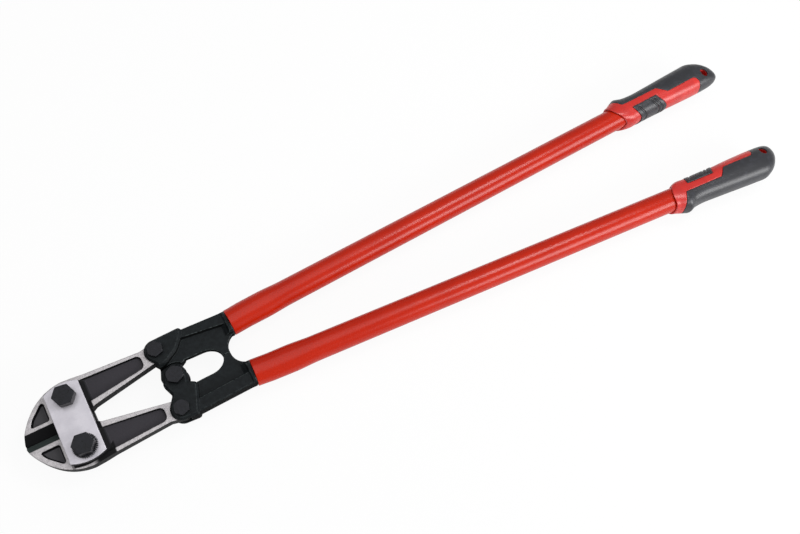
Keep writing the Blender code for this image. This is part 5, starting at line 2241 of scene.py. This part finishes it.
    def build_insert(self) -> bpy.types.Object:
        """Build the ribbed insert under the fingers.

        Returns:
            The new object.
        """
        insert = self.body(self.insert_raise)
        keep(insert, self.band(self.insert_start, self.insert_end, self.insert_edge))
        cut(insert, self.body(GAP - self.insert_depth))
        for start in (self.insert_start + station for station in self.grooves):
            groove = self.body(BEYOND)
            keep(groove, self.band(start, start + self.groove_width,
                                   self.insert_edge - self.groove_margin))
            cut(groove, self.body(self.insert_raise - self.groove_depth))
            cut(insert, groove)
        return insert

    def build(self) -> None:
        """Build the three pieces and put them in place."""
        finishes = self.shop.finishes
        for kind, make, surface, slot in (
                ("core", self.build_core, finishes.plastic, Slot.PLASTIC),
                ("palm", self.build_palm, finishes.rubber, Slot.RUBBER),
                ("insert", self.build_insert, finishes.rubber, Slot.RUBBER)):
            item = make()
            soften(item, self.voxel)
            self.shop.place(item, f"grip_{kind}_{self.half.value}", "moulded", surface, slot,
                            self.half)


# ================================================================ studio
@dataclass(frozen=True)
class Lamp:
    """One soft box that faces a target."""

    name: str
    place: Point
    target: Point
    size: Flat
    power: float

    def build(self) -> None:
        """Make the lamp."""
        data = bpy.data.lights.new(self.name, "AREA")
        data.shape = "RECTANGLE"
        data.size, data.size_y = self.size
        data.energy = self.power
        lamp = bpy.data.objects.new(self.name, data)
        lamp.location = self.place
        way = Vector(self.target) - Vector(self.place)
        lamp.rotation_euler = way.to_track_quat("-Z", "Y").to_euler()
        bpy.context.scene.collection.objects.link(lamp)


@dataclass
class Studio:
    """Camera, soft lamps, pale floor and white surroundings."""

    datum: Datum
    lens: float = 36.0
    sensor: float = 36.0
    # From the jaws' tip and the middle plane.
    eye: Point = (0.187105, -0.284291, 0.937857)
    aim: Point = (0.3980, -0.1217, -0.5068)
    lamps: tuple[Lamp, ...] = (
        Lamp("key", (1.20, -1.50, 0.95), (0.25, 0.0, 0.0), (1.5, 0.8), 31.0),
        Lamp("side", (0.77, 0.06, 1.56), (-0.45, 0.0, 0.0), (0.5, 0.5), 9.0),
        Lamp("top", (-0.2, 0.3, 1.9), (0.0, 0.0, 0.0), (1.8, 1.8), 11.0),
    )
    white: Colour = (1.0, 1.0, 1.0, 1.0)
    floor_colour: Colour = (0.86, 0.86, 0.86, 1.0)
    floor_roughness: float = 0.9
    floor_size: float = 6.0
    # How much of plain white the floor shows to the camera and in reflections.
    floor_shown: float = 0.93
    floor_mirrored: float = 0.3
    # Strength of the surroundings as a light, and as the camera sees them.
    ambient: float = 0.36
    shown: float = 1.0

    def camera(self) -> None:
        """Make the camera."""
        data = bpy.data.cameras.new("camera")
        data.lens = self.lens
        data.sensor_width = self.sensor
        camera = bpy.data.objects.new("camera", data)
        camera.location = (self.datum.tip_x + self.eye[0], self.eye[1],
                           self.datum.middle_z + self.eye[2])
        camera.rotation_euler = self.aim
        bpy.context.scene.collection.objects.link(camera)
        bpy.context.scene.camera = camera

    def floor(self) -> None:
        """Make the floor that the tool lies on."""
        build = bmesh.new()
        bmesh.ops.create_grid(build, x_segments=1, y_segments=1, size=self.floor_size)
        mesh = bpy.data.meshes.new("floor")
        build.to_mesh(mesh)
        build.free()
        floor = make_object("floor", mesh)
        floor.location.z = CAD_BOX[0].z
        mesh.materials.append(self.floor_material())

    def floor_material(self) -> bpy.types.Material:
        """White floor that keeps a soft shadow.

        Returns:
            The material.
        """
        graph = Dressing("studio floor")
        white = graph.add("ShaderNodeEmission", None, {"Color": self.white, "Strength": 1.0})
        seen, mirrored = (graph.add("ShaderNodeLightPath", output=name)
                          for name in ("Is Camera Ray", "Is Glossy Ray"))
        share = seen * self.floor_shown + mirrored * self.floor_mirrored
        graph.feed(graph.surface, graph.add("ShaderNodeMixShader", None,
                                            {0: share, 1: graph.shader, 2: white}))
        return graph.finish(Base_Color=self.floor_colour, Roughness=self.floor_roughness)

    def world(self) -> None:
        """White surroundings for the camera, and plain soft light for the rest."""
        world = bpy.data.worlds.new("studio")
        world.use_nodes = True
        bpy.context.scene.world = world
        graph = Graph(world.node_tree, "ShaderNodeOutputWorld")
        seen = graph.add("ShaderNodeLightPath", output="Is Camera Ray")
        strength = graph.add("ShaderNodeMapRange", None,
                             {"Value": seen, "To Min": self.ambient, "To Max": self.shown})
        graph.feed(graph.surface, graph.add("ShaderNodeBackground", None,
                                            {"Color": self.white, "Strength": strength}))

    def build(self) -> None:
        """Build the studio."""
        bpy.context.scene.view_settings.view_transform = "Standard"
        self.camera()
        for lamp in self.lamps:
            lamp.build()
        self.floor()
        self.world()


def main() -> None:
    """Build the studio and every sub-assembly in order."""
    logging.basicConfig(level=logging.INFO, format="%(name)s: %(message)s")
    datum = Datum.read()
    Studio(datum).build()
    shop = Workshop(datum, Finishes.make(datum))
    line = HandleLine()
    for side in (1, -1):
        SidePlate(shop, side).build()
    for half in Half:
        label = f"_{half.value}"
        rim = Rim.PLAIN if half is Half.UPPER else Rim.TOOTHED
        Fastener(shop, "jaw", label, flats=22.0 * MM, radius=7.0 * MM, turn=-8.0,
                 washer_rim=rim).build()
        Fastener(shop, "handle", label, flats=17.0 * MM, radius=5.0 * MM, turn=18.0).build()
        Jaw(shop, half).build()
        Knuckle(shop, half, line).build()
        tube = Tube(shop, half, line)
        tube.build()
        Grip(shop, half, line, tube).build()
    Fastener(shop, "centre", "", flats=19.0 * MM, radius=6.0 * MM, turn=24.0).build()


if __name__ == "__main__":
    main()
